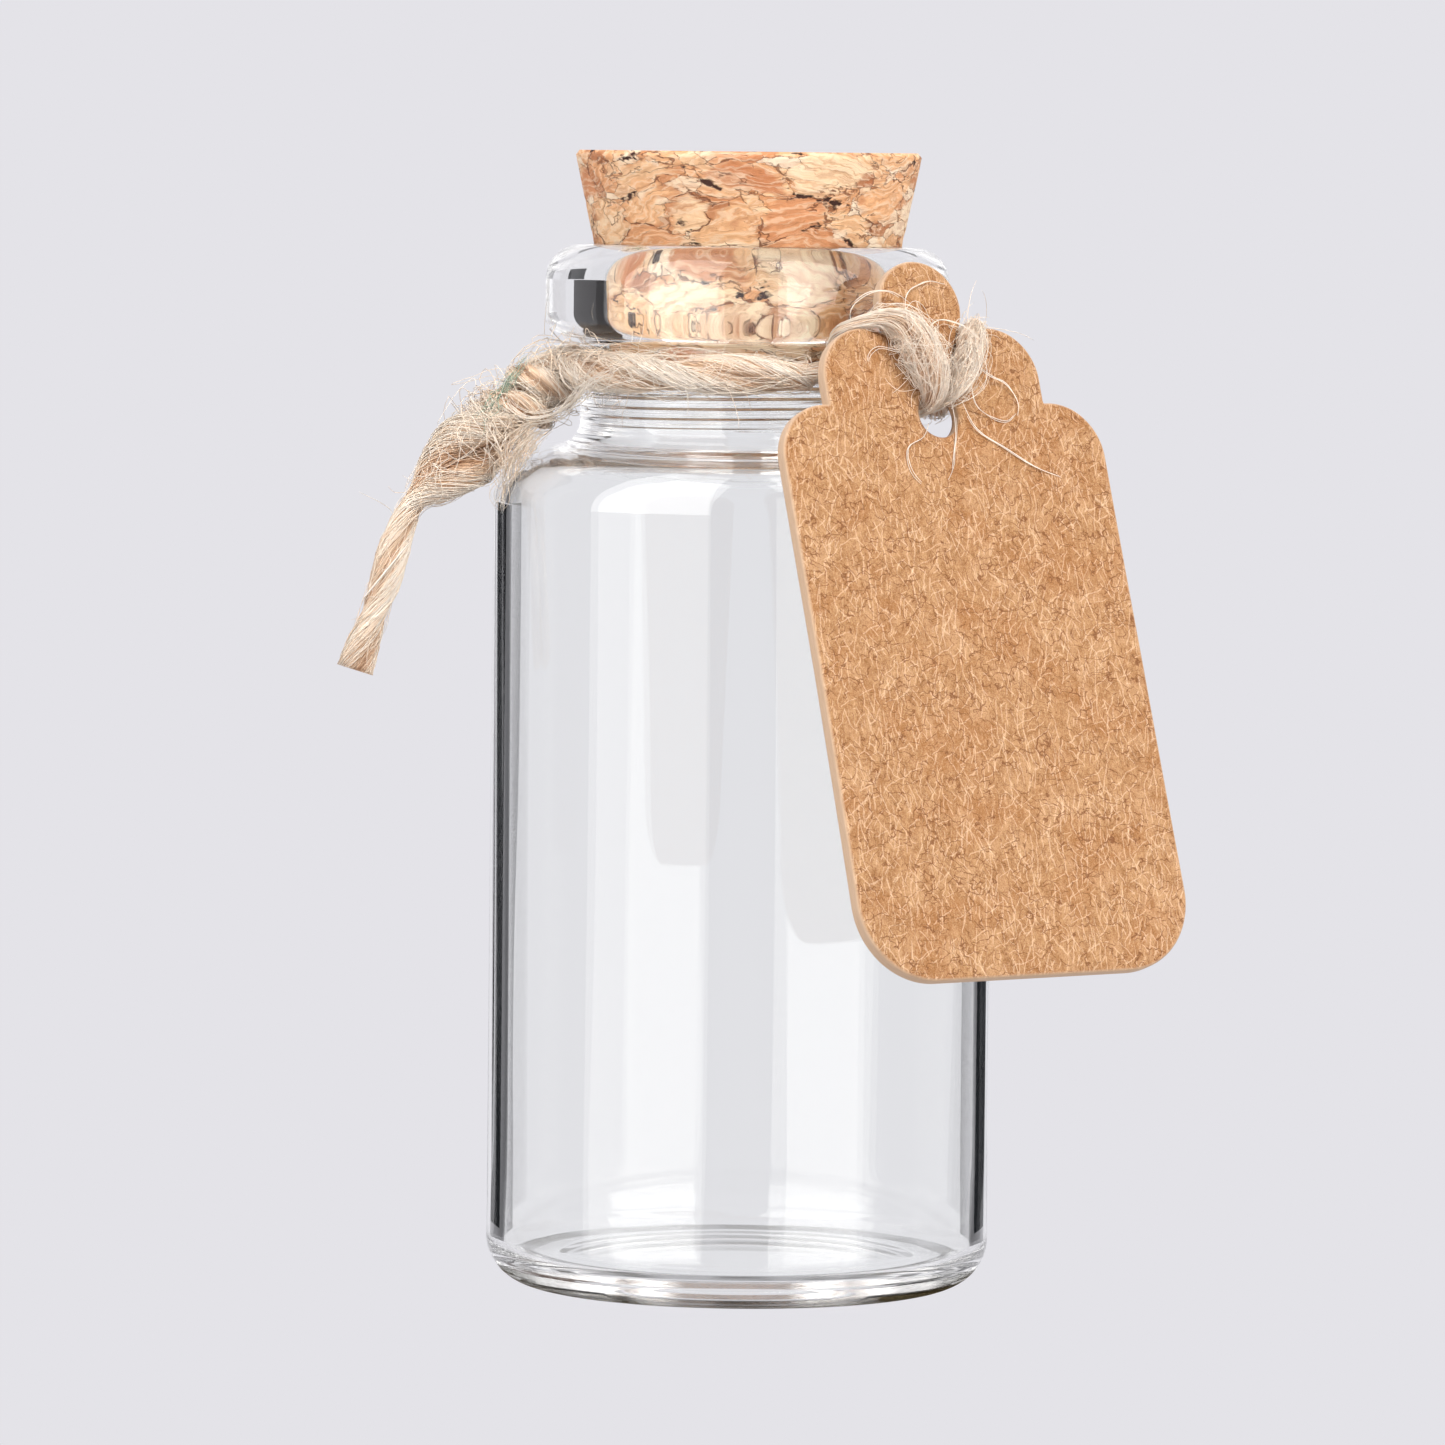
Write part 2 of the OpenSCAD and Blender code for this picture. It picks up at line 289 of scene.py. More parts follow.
def mixed(tree, share, a, b):
    """Colour a mixed towards colour b by a share."""
    n = node(tree, "ShaderNodeMix", data_type="RGBA")
    for socket, v in ((n.inputs[0], share), (n.inputs[6], a), (n.inputs[7], b)):
        if isinstance(v, bpy.types.NodeSocket):
            tree.links.new(v, socket)
        else:
            socket.default_value = (*v, 1) if isinstance(v, tuple) else v
    return n.outputs[2]


def toned(tree, base, share, amount, colour):
    """A base colour moved towards another by a share times an amount."""
    return mixed(tree, times(tree, share, amount), base, colour)


def layered(tree, base, rows):
    """Colours laid over a base one by one. Each row has a value, where its layer starts and where it is full,
    the layer's amount and its colour."""
    for value, start, full, amount, colour in rows:
        base = toned(tree, base, step_between(tree, value, start, full), amount, colour)
    return base


def object_place(tree):
    """The point on the piece, in its own coordinates."""
    return tree.nodes.new("ShaderNodeTexCoord").outputs["Object"]


def set_finish(tree, bsdf, colour, values):
    """Links a principled shader's colour and sets its other inputs."""
    tree.links.new(colour, bsdf.inputs["Base Color"])
    for name, value in values.items():
        bsdf.inputs[name].default_value = value


def add_relief(tree, bsdf, height, strength, depth):
    """Fine relief in the shading, as deep as depth metres for a height of 1."""
    bump = node(tree, "ShaderNodeBump", {"Height": height, "Strength": strength, "Distance": depth})
    tree.links.new(bump.outputs[0], bsdf.inputs["Normal"])


# Glass
def clear_glass():
    """Water-white glass, with painted olive shade at the foot of the heel, close to the ring that the bottle
    stands on: it stands in for the shadow under the bottle, seen through the glass.
    """
    m, tree, bsdf = new_material("clear_glass")
    p = object_place(tree)
    flat = vector_node(tree, "MULTIPLY", {0: p, 1: (1, 1, 0)})[0]
    off = vector_node(tree, "LENGTH", {0: flat})["Value"]
    height = node(tree, "ShaderNodeSeparateXYZ", {0: p}).outputs[2]
    # painted shade: the glass turns olive low on the heel, outside the standing ring, in uneven patches
    low = step_between(tree, height, 0.00075, 0.00055)
    low = times(tree, low, step_between(tree, off, 0.0108, 0.0112))
    uneven = step_between(tree, noise(tree, stretched(tree, p, (1, 1, 0.2)), 130, 2.0), 0.36, 0.55)
    low = times(tree, low, plus(tree, times(tree, uneven, 0.3), 0.7))
    water_white_and_painted_shade = mixed(tree, low, (0.985, 0.992, 0.985), (0.006, 0.004, 0.0012))
    set_finish(tree, bsdf, water_white_and_painted_shade, {"Roughness": 0.0, "IOR": 1.5, "Transmission Weight": 1.0})
    return m


def bottle_profile():
    """The bottle's half section as one line: hollow of the base, heel, side, shoulder, neck, bead, lip, bore,
    throat, ceiling, inner side, inner heel and floor, from the axis back to the axis."""
    heel, inner_heel, cove, bead_low, bead_top, bead_z = 2.6, 0.9, 1.2, 1.4, 1.9, 50.8
    hollow_r, hollow, dome_z, crease = 9.5, 0.5, 2.05, 0.4
    inside, middle_r, middle_z = BODY_R - WALL, BODY_R - SHOULDER_R, SHOULDER_Z - SHOULDER_R
    return eased([
        cap(hollow_r, 0.0, hollow, True),
        arc(BODY_R - heel, heel, heel, -90, 0, 18),
        arc(middle_r, middle_z, SHOULDER_R, 0, 90, 20),
        arc(NECK_R + cove, SHOULDER_Z + cove, cove, 270, 180, 14),
        arc(NECK_R + crease, bead_z - crease, crease, 180, 90, 8),
        arc(BEAD_R - bead_low, bead_z + bead_low, bead_low, -90, 0, 16),
        arc(BEAD_R - bead_top, BOTTLE_H - bead_top, bead_top, 0, 90, 18),
        arc(BORE_R + LIP_R, BOTTLE_H - LIP_R, LIP_R, 90, 180, 12),
        np.stack([np.full(64, BORE_R), np.linspace(RINGS_HIGH, RINGS_LOW, 64)], 1),
        arc(BORE_R + cove, SHOULDER_Z - WALL + cove, cove, 180, 270, 12),
        arc(middle_r, middle_z, SHOULDER_R - WALL, 90, 0, 16),
        arc(inside - inner_heel, FLOOR_T + inner_heel, inner_heel, 0, -90, 14),
        cap(hollow_r, FLOOR_T, dome_z, False),
    ])


def glass_wobble(t, z, r):
    """Slight unevenness of drawn glass: a few waves round the bottle, a hundredth of a millimetre deep, that
    change slowly with height and fade towards the axis, and fine level rings in the bore below the cork."""
    fade = np.clip(r / 12.0, 0, 1) ** 2
    inner = np.where(np.abs(r - (BODY_R - WALL)) < 0.5, 1.0, 0.4)
    waves = 0.010 * np.sin(5 * t + 0.05 * z + 1.0) + 0.006 * np.sin(11 * t - 0.08 * z + 2.2)
    waves = waves + 0.0030 * np.sin(23 * t + 0.3) + 0.0018 * np.sin(41 * t + 0.11 * z)
    side = np.clip((z - 3.0) / 4.0, 0, 1) * np.clip((47.0 - z) / 4.0, 0.3, 1)
    neck = np.clip((RINGS_HIGH - 0.05 - z) / 0.4, 0, 1) * np.clip((z - RINGS_LOW) / 0.4, 0, 1)
    neck = neck * (r < BORE_R + 0.1)
    rings = 0.032 * np.sin(11.4 * z + 1.3 * np.sin(t + 0.4)) + 0.014 * np.sin(24 * z + 2.1 * np.sin(2 * t))
    return waves * fade * inner * side + rings * neck


glass = lathe("glass_bottle_clear", bottle_profile(), clear_glass(), 288, glass_wobble)
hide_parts("glass_bottle")
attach(glass, "bottle")


# Cork
def cork_granules():
    """Pressed cork: long warped flakes, each with its own colour and its own run of wavy growth lines, parted
    by thin jagged seams that open into dark pits; finer flakes lie between the large ones."""
    m, tree, bsdf = new_material("cork_granules")
    p = object_place(tree)

    def flakes(scale, squeeze, push, offset):
        """Cells of flakes in coordinates that a noise has pushed about: the place there, each flake's random
        colour, the colour's red and green, and the distance to the seam."""
        flat = stretched(tree, p, (scale, scale, scale * squeeze), (0.12, 0.2, 0), (offset, 0.4, offset))
        warp = {"Vector": flat, "Scale": 0.8, "Detail": 4.0, "Roughness": 0.6}
        warped = node(tree, "ShaderNodeTexNoise", warp).outputs["Color"]
        pushed = vector_node(tree, "SUBTRACT", {0: warped, 1: (0.5, 0.5, 0.5)})[0]
        pushed = vector_node(tree, "SCALE", {0: pushed, "Scale": push})[0]
        place = vector_node(tree, "ADD", {0: flat, 1: pushed})[0]
        cells = {"Vector": place, "Scale": 1.0, "Randomness": 1.0}
        mark = node(tree, "ShaderNodeTexVoronoi", cells, feature="F1").outputs["Color"]
        edge = node(tree, "ShaderNodeTexVoronoi", cells, feature="DISTANCE_TO_EDGE").outputs["Distance"]
        red, green, _ = node(tree, "ShaderNodeSeparateColor", {0: mark}).outputs
        return place, mark, red, green, edge

    place, mark, red, green, edge = flakes(235, 2.2, 1.05, 0.0)
    _, _, small, _, small_edge = flakes(600, 2.3, 1.3, 3.7)
    # growth lines: each flake turns the coordinates by its own amount, then they are stretched one way
    turn = {"Vector": place, "Axis": (0.25, 0.95, 0.2), "Angle": times(tree, minus(tree, green, 0.5), 2.0)}
    turned = node(tree, "ShaderNodeVectorRotate", turn, rotation_type="AXIS_ANGLE").outputs[0]
    shifted = vector_node(tree, "ADD", {0: turned, 1: mark})[0]
    bend = noise(tree, shifted, 1.2, 3.5, 0.55)
    rise = node(tree, "ShaderNodeSeparateXYZ", {0: shifted}).outputs[2]
    phase = plus(tree, times(tree, rise, 26.0), times(tree, bend, 34.0))
    wave = plus(tree, times(tree, math_node(tree, "SINE", phase), 0.5), 0.5)
    fine = noise(tree, stretched(tree, shifted, (1.4, 1.4, 16.0)), 2.0, 4.0, 0.6, 0.4)
    grain = noise(tree, p, 5200, 3.0, 0.6)
    blotch = noise(tree, place, 1.3, 4.0, 0.6)
    gaps = noise(tree, p, 420, 2.0)
    base = ramp(tree, red, [
        (0.0, (0.55, 0.19, 0.07)), (0.18, (0.72, 0.31, 0.135)), (0.42, (0.84, 0.43, 0.20)),
        (0.68, (0.87, 0.50, 0.25)), (0.86, (0.92, 0.63, 0.37)), (1.0, (0.95, 0.75, 0.53)),
    ])
    second = ramp(tree, small, [
        (0.0, (0.42, 0.14, 0.05)), (0.3, (0.76, 0.35, 0.15)),
        (0.6, (0.90, 0.56, 0.30)), (1.0, (0.96, 0.80, 0.60)),
    ])
    few = step_between(tree, plus(tree, edge, times(tree, minus(tree, gaps, 0.5), 0.9)), 0.16, 0.04)
    base = toned(tree, base, few, 0.85, second)
    base = layered(tree, base, (
        (blotch, 0.55, 0.72, 0.50, (0.97, 0.76, 0.52)),
        (blotch, 0.45, 0.30, 0.55, (0.52, 0.19, 0.07)),
        (wave, 0.55, 1.0, 0.30, (0.48, 0.18, 0.065)),
        (wave, 0.35, 0.0, 0.34, (0.97, 0.78, 0.55)),
        (fine, 0.53, 0.70, 0.45, (0.98, 0.80, 0.58)),
        (fine, 0.45, 0.30, 0.50, (0.40, 0.145, 0.05)),
    ))
    # brown hair lines that follow the growth, jagged seams and nearly black pits
    bite = times(tree, minus(tree, noise(tree, p, 1700, 4.0, 0.65), 0.5), 0.13)
    hair = near_value(tree, bend, 0.485, 0.010, 0.003)
    hair = times(tree, hair, step_between(tree, noise(tree, p, 560, 2.0), 0.48, 0.56))
    rim = plus(tree, edge, bite)
    seam = times(tree, step_between(tree, rim, 0.018, 0.0), step_between(tree, gaps, 0.40, 0.52))
    small_seam = times(tree, step_between(tree, plus(tree, small_edge, bite), 0.03, 0.0), few)
    brown = math_node(tree, "MAXIMUM", seam, times(tree, hair, 0.85))
    brown = math_node(tree, "MAXIMUM", brown, times(tree, small_seam, 0.8), True)
    rare = noise(tree, stretched(tree, p, (1, 1, 1.7), move=(0.013, 0.007, 0.002)), 620, 3.0, 0.6)
    pit = times(tree, step_between(tree, rim, 0.10, 0.04), step_between(tree, rare, 0.61, 0.65))
    base = toned(tree, base, brown, 0.85, (0.20, 0.062, 0.022))
    base = mixed(tree, pit, base, (0.045, 0.014, 0.007))
    set_finish(tree, bsdf, base, {"Roughness": 0.75, "Specular IOR Level": 0.3})
    height = minus(tree, times(tree, fine, 0.5), math_node(tree, "MAXIMUM", brown, pit, True))
    height = plus(tree, height, times(tree, grain, 0.25))
    height = minus(tree, height, times(tree, wave, 0.15))
    add_relief(tree, bsdf, height, 0.7, 0.00012)
    return m


def cork_profile():
    """Half section of the cork: narrowed foot, part in the bore, roll that clears the lip, taper and top."""
    lip_z, clear, meet, soft = BOTTLE_H - LIP_R, 0.96, 0.78, 0.25
    foot_r, low_r, high_r, edge_r, top_r, slope = 7.04, 7.29, 7.64, 9.05, 9.3, math.tan(math.radians(12))
    # the roll is a circle about the lip's middle, and it meets the taper at the height meet over that middle
    end = math.degrees(math.atan2(meet, -math.sqrt(clear**2 - meet**2)))
    roll = arc(BORE_R + LIP_R, lip_z, clear, 180, end, 7)
    rise = np.linspace(roll[-1, 1] + 0.05, CORK_TOP - soft, 34)
    taper = np.stack([top_r - (CORK_TOP - rise) * slope, rise], 1)
    bore = np.stack([np.linspace(low_r, high_r, 38), np.linspace(CORK_LOW + soft, lip_z, 38)], 1)
    foot = np.stack([np.linspace(0, foot_r, 24), np.full(24, CORK_LOW)], 1)
    top = np.stack([np.linspace(edge_r, 0, 30), np.full(30, CORK_TOP)], 1)
    return no_doubles(np.concatenate([foot, bore, roll[1:], taper, top]))


def cork_wobble(t, z, r):
    """Small hollows of a cut cork side, inwards only: the sum of two products of crossed waves, cut off at
    nought, 0.035 mm deep, and fading towards the axis."""
    large = np.sin(7 * t + 1.3 * z) * np.sin(2.1 * z + 3 * t)
    small = 0.6 * np.sin(17 * t - 2.7 * z + 0.8) * np.sin(4.9 * z + 5 * t)
    return -0.035 * np.clip(large + small, 0, None) * np.clip(r / 6.0, 0, 1)


cork = lathe("cork_stopper_granules", cork_profile(), cork_granules(), 360, cork_wobble)
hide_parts("cork_stopper")
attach(cork, "cork")


# Card tag
def kraft_card():
    """Unbleached card: mottled brown, light fibres mostly along the tag, short dark curls, pale cut edge."""
    m, tree, bsdf = new_material("kraft_card")
    p = node(tree, "ShaderNodeAttribute", attribute_name="card").outputs["Vector"]
    cloud = noise(tree, stretched(tree, p, (0.8, 1.2, 1)), 0.26, 4.0, 0.58)
    patch = noise(tree, stretched(tree, p, (1, 0.7, 1), move=(7.0, 3.0, 1.0)), 0.8, 4.0, 0.65)
    mottle = noise(tree, stretched(tree, p, (1.0, 0.7, 1.0)), 2.2, 6.0, 0.72)
    grit, speck = noise(tree, p, 13.0, 3.0, 0.7), noise(tree, p, 7.0, 2.0, 0.6)
    base = ramp(tree, mottle, [
        (0.32, (0.285, 0.118, 0.037)), (0.5, (0.410, 0.200, 0.077)), (0.66, (0.51, 0.280, 0.125)),
    ])
    base = layered(tree, base, (
        (cloud, 0.46, 0.60, 0.60, (0.36, 0.145, 0.042)),
        (patch, 0.50, 0.62, 0.42, (0.62, 0.365, 0.190)),
    ))

    def threads(turn, scale, long, move, width):
        """Short threads: thin level lines of a noise, parted by a coarser noise."""
        q = stretched(tree, p, (1.6, long, 1.0), turn=(0, 0, turn), move=(move, move * 0.7, move))
        thin = near_value(tree, noise(tree, q, scale, 2.0, 0.6, 0.5), 0.5, width, width * 0.25)
        return times(tree, thin, step_between(tree, noise(tree, q, scale * 0.5, 2.0), 0.44, 0.64))

    def strokes(turn, period, bend, long, move, low, width=0.085):
        """Lines a period apart that wander by the bend, cut into pieces about as long as given."""
        q = stretched(tree, p, (1, 1, 1), turn=(0, 0, turn), move=(move, move * 0.6, 0))
        wander = times(tree, minus(tree, noise(tree, q, 0.42, 3.0, 0.55), 0.5), bend)
        x = plus(tree, node(tree, "ShaderNodeSeparateXYZ", {0: q}).outputs[0], wander)
        across = math_node(tree, "FRACT", times(tree, x, 1 / period))
        thin = near_value(tree, across, 0.5, width / period / 2, width / period / 5)
        piece = noise(tree, stretched(tree, q, (0.9 / period, 1 / long, 1), move=(3.0, 1.0, move)), 1.0, 1.0)
        return times(tree, thin, step_between(tree, piece, low, low + 0.05))

    # felt of short threads, dark and light: turn, scale, length and shift of each layer
    for row in ((0.3, 3.6, 0.8, 1.7), (-0.5, 3.0, 1.0, 5.3), (1.2, 4.0, 0.7, 9.1)):
        base = toned(tree, base, threads(*row, 0.026), 0.42, (0.18, 0.068, 0.020))
    for row in ((0.10, 4.0, 0.4, 2.2), (-0.35, 4.6, 0.4, 3.9), (0.8, 4.0, 0.6, 6.4), (-1.4, 3.6, 0.6, 8.3)):
        base = toned(tree, base, threads(*row, 0.028), 0.45, (0.70, 0.44, 0.235))
    # straight light fibres, then thin dark hairs that curl: turn, period, bend, length and shift
    for row in (
        (0.16, 0.34, 1.0, 1.5, 2.0), (-0.14, 0.42, 1.2, 1.7, 5.0), (0.45, 0.38, 1.5, 1.2, 9.0),
        (-0.6, 0.46, 1.6, 1.1, 12.0), (1.1, 0.6, 1.5, 1.0, 17.0),
    ):
        base = toned(tree, base, strokes(*row, 0.54), 0.42, (0.87, 0.62, 0.41))
    for row in (
        (0.3, 0.8, 5.0, 0.9, 31.0), (1.3, 0.7, 4.5, 0.8, 36.0), (-0.7, 0.9, 5.5, 1.0, 41.0),
        (2.2, 0.9, 5.0, 0.9, 47.0), (1.7, 0.8, 4.0, 1.2, 53.0), (1.5, 1.5, 6.0, 1.6, 59.0),
    ):
        base = toned(tree, base, strokes(*row, 0.53), 0.85, (0.20, 0.068, 0.018))
    base = layered(tree, base, (
        (grit, 0.52, 0.66, 0.40, (0.66, 0.42, 0.225)),
        (grit, 0.47, 0.33, 0.45, (0.17, 0.07, 0.022)),
        (speck, 0.62, 0.72, 0.45, (0.20, 0.09, 0.03)),
    ))
    # the cut edge shows the lighter core of the card
    cut = node(tree, "ShaderNodeAttribute", attribute_name="tone").outputs["Fac"]
    layer = noise(tree, stretched(tree, p, (0.6, 0.6, 9.0)), 2.2, 3.0, 0.6)
    core = mixed(tree, layer, (0.50, 0.315, 0.185), (0.72, 0.52, 0.36))
    set_finish(tree, bsdf, mixed(tree, cut, base, core), {
        "Roughness": 0.86, "Specular IOR Level": 0.22, "Sheen Weight": 0.12, "Sheen Roughness": 0.5,
    })
    tooth = noise(tree, stretched(tree, p, (2.4, 0.9, 1.0)), 5.0, 4.0, 0.65)
    add_relief(tree, bsdf, tooth, 0.35, 0.00006)
    return m


# the parts of the tag's outline in its own frame: blocks as left, right, low and high, and discs as across,
# up and radius, two in the middle and three on each side
TAG_BLOCKS = ((-10, 10, -26.0, -2.4), (-5.8, 5.8, -30.2, 0.6), (-7, 7, -20.0, 0.6), (-6.7, 6.7, -5.0, 1.9))
TAG_DISCS = [(0, 2.4, 3.0), (0, 5.9, 2.5)]
for hand in (-1, 1):
    TAG_DISCS += [(hand * 5.8, -26.0, 4.2), (hand * 7.0, -2.4, 3.0), (hand * 3.85, 1.9, 2.85)]


def tag_reach(a):
    """Distance from the hole's centre to the tag's outline along each angle: the furthest place at which a
    ray at that angle leaves one of the outline's blocks and discs."""
    c, s = np.cos(a), np.sin(a)

    def leave_disc(x, y, r):
        """b + sqrt(b^2 - (x^2 + y^2 - r^2)) with b = x cos a + y sin a, or 0 where the ray misses it."""
        b = x * c + y * s
        d = b * b - (x * x + y * y - r * r)
        return np.where(d >= 0, b + np.sqrt(np.maximum(d, 0)), 0.0)

    def leave_block(left, right, low, high):
        """The nearer of x / cos a and y / sin a for the sides ahead, or 0 where the ray misses the block."""
        with np.errstate(divide="ignore", invalid="ignore"):
            tx = np.where(c > 1e-12, right / c, np.where(c < -1e-12, left / c, np.inf))
            ty = np.where(s > 1e-12, high / s, np.where(s < -1e-12, low / s, np.inf))
            enter = np.where(s < -1e-12, high / s, np.inf) if high < 0 else 0.0
        leave = np.minimum(tx, ty)
        return np.where(leave > enter, leave, 0.0)

    return np.max([leave_block(*row) for row in TAG_BLOCKS] + [leave_disc(*row) for row in TAG_DISCS], axis=0)


def tag_bend(u, v, n, twist=0.30, curl=0.10):
    """Slight spring of the card, added to the height n at a place (u, v): the lower end is twisted, most at
    its corners, as the square of the way down, and the sides curl out, most at mid length."""
    low, side = np.clip((-v - 4) / 26.0, 0, 1), u / 10.0
    middle = np.clip(1 - np.abs(v + 14) / 20, 0, 1)
    return n + twist * low**2 * side + curl * side**2 * middle


def outline_angles(count):
    """Angles round the hole for the points of the outline: even steps along it, and closer where it turns."""
    fine = np.linspace(-math.pi, math.pi, 14400, endpoint=False)
    r = tag_reach(fine)
    x, y = r * np.cos(fine), r * np.sin(fine)
    step = np.hypot(np.diff(np.r_[x, x[0]]), np.diff(np.r_[y, y[0]]))
    heading = np.unwrap(np.arctan2(np.roll(y, -1) - y, np.roll(x, -1) - x))
    turn = np.abs(np.angle(np.exp(1j * np.diff(np.r_[heading, 0]))))
    weight = np.cumsum(step + 0.55 * np.clip(turn, 0, 0.2))
    picks = np.searchsorted(weight, (np.arange(count) + 0.5) / count * weight[-1])
    return np.sort(fine[np.clip(picks, 0, len(fine) - 1)])


def make_tag(count=720, ease=0.16):
    """The card as one closed sheet. Angle a runs round the hole; the second parameter runs from the hole's
    rim over the front face to the outline, round the softened cut edge and back along the rear face."""
    a, half = outline_angles(count), TAG_T / 2
    edge = tag_reach(a)
    ex, ey = edge * np.cos(a), edge * np.sin(a)
    tx, ty = np.roll(ex, -1) - np.roll(ex, 1), np.roll(ey, -1) - np.roll(ey, 1)
    length = np.maximum(np.hypot(tx, ty), 1e-9)
    nx, ny = ty / length, -tx / length
    inx, iny = ex - ease * nx, ey - ease * ny
    hx, hy = HOLE_R * np.cos(a), HOLE_R * np.sin(a)
    rows, tone = [], []

    def ring(x, y, height, cut=0.0):
        """One line round the sheet, at a height over the card's middle and with its share of cut edge."""
        rows.append(np.stack([x, y, tag_bend(x, y, height)], -1))
        tone.append(np.full(count, cut))

    def soften(face, degrees):
        """One line of the softened edge: a quarter circle of radius ease, from a face to the cut side."""
        b = math.radians(degrees)
        out, down = ease * math.sin(b), ease * (1 - math.cos(b))
        ring(inx + out * nx, iny + out * ny, face - math.copysign(down, face), min(1.0, degrees / 60))

    bends, share, wide = (25, 50, 75, 90), np.linspace(0, 1, 34) ** 1.15, 1 + 0.10 / HOLE_R
    ring(hx, hy, half - 0.05)
    for q in share[1:]:
        ring(hx * wide * (1 - q) + inx * q, hy * wide * (1 - q) + iny * q, half)
    for degrees in bends:
        soften(half, degrees)
    for height in (0.12, -0.12):
        ring(ex, ey, height, 1.0)
    for degrees in bends[::-1]:
        soften(-half, degrees)
    for q in share[::-1]:
        ring(hx * (1 - q) + inx * q, hy * (1 - q) + iny * q, -half)
    for height in (-half * 0.4, half * 0.4):
        ring(hx, hy, height, 0.8)
    flat = np.stack(rows)
    quads = grid_quads(len(rows), count, wrap_rows=True, wrap_columns=True)
    points = on_tag(flat).reshape(-1, 3)
    if signed_volume(points, quads, np.zeros((0, 3), int)) < 0:
        quads = quads[:, ::-1]
    piece = make_piece("paper_tag_card", points, quads, None, kraft_card(), tones=np.stack(tone))
    card = piece.data.attributes.new("card", "FLOAT_VECTOR", "POINT")
    card.data.foreach_set("vector", flat.reshape(-1, 3).astype(np.float32).ravel())
    return piece


tag = make_tag()
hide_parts("paper_tag")
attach(tag, "tag")


# Jute twine
def jute(name, light, middle, dark, sheen):
    """Loose plant fibre: each fibre has its own tone from the dark to the light one, with small blotches."""
    m, tree, bsdf = new_material(name)
    tone = node(tree, "ShaderNodeAttribute", attribute_name="tone").outputs["Fac"]
    p = object_place(tree)
    fleck, patch = noise(tree, p, 900, 3.0, 0.6), noise(tree, p, 260, 2.0, 0.5)
    value = plus(tree, times(tree, tone, 0.72), times(tree, fleck, 0.26))
    value = plus(tree, value, times(tree, patch, 0.14), True)
    base = ramp(tree, value, [(0.12, dark), (0.46, middle), (0.80, light)])
    set_finish(tree, bsdf, base, {
        "Roughness": 0.42, "Specular IOR Level": 0.5, "Sheen Weight": sheen, "Sheen Roughness": 0.4,
    })
    return m


JUTE = jute("jute_fibre", (0.98, 0.88, 0.75), (0.94, 0.71, 0.50), (0.50, 0.25, 0.115), 0.15)
JUTE_CORE = jute("jute_core", (0.90, 0.68, 0.48), (0.76, 0.51, 0.32), (0.46, 0.25, 0.12), 0.0)
JUTE_GREEN = jute("jute_green_fibre", (0.60, 0.72, 0.58), (0.27, 0.42, 0.31), (0.04, 0.14, 0.09), 0.0)
# upper bound of the random phases, about one full turn
TURN = 6.3


def smooth_route(points, step=0.25):
    """A rounded line through the points: a cubic between each pair with slopes from their neighbours,
    then evenly spaced. The fourth column, the radius, is carried along."""
    p = np.asarray(points, float)
    chord = np.r_[0, np.cumsum(np.linalg.norm(np.diff(p[:, :3], axis=0), axis=1))]
    slope = np.gradient(p, chord, axis=0)
    s = np.arange(0, chord[-1], 0.05)
    k = np.clip(np.searchsorted(chord, s, side="right") - 1, 0, len(chord) - 2)
    h = (chord[k + 1] - chord[k])[:, None]
    t = (s - chord[k])[:, None] / h
    q = (
        (2 * t**3 - 3 * t**2 + 1) * p[k]
        + (t**3 - 2 * t**2 + t) * h * slope[k]
        + (-2 * t**3 + 3 * t**2) * p[k + 1]
        + (t**3 - t**2) * h * slope[k + 1]
    )
    run = np.r_[0, np.cumsum(np.linalg.norm(np.diff(q[:, :3], axis=0), axis=1))]
    even = np.linspace(0, run[-1], max(4, int(run[-1] / step) + 1))
    return np.stack([np.interp(even, run, q[:, c]) for c in range(q.shape[1])], 1), even


class Strand:
    """A twine's route with a frame carried along it without twist: place, two side vectors and radius at any
    distance, found by linear steps between close stations. The first side vector starts near the direction
    that is given."""

    def __init__(self, points, first):
        self.route, self.run = smooth_route(points)
        self.length = float(self.run[-1])
        heading = np.gradient(self.route[:, :3], self.run, axis=0)
        heading /= np.linalg.norm(heading, axis=1)[:, None]
        side = np.zeros_like(heading)
        v = np.asarray(first, float)
        for i, t in enumerate(heading):
            v = v - (v @ t) * t
            v = v / np.linalg.norm(v)
            side[i] = v
        self.heading, self.side, self.other = heading, side, np.cross(heading, side)

    def at(self, table, s):
        """Rows of a table of stations, at distances s."""
        return np.stack([np.interp(s, self.run, table[:, c]) for c in range(3)], -1)

    def radius(self, s):
        """The twine's radius at distances s."""
        return np.interp(s, self.run, self.route[:, 3])

    def place(self, s, out, angle):
        """Points at distance s, away from the centreline by out, at an angle round it; flat in the frame."""
        return (
            self.at(self.route, s)
            + (out * np.cos(angle))[..., None] * self.at(self.side, s)
            + (out * np.sin(angle))[..., None] * self.at(self.other, s)
        )


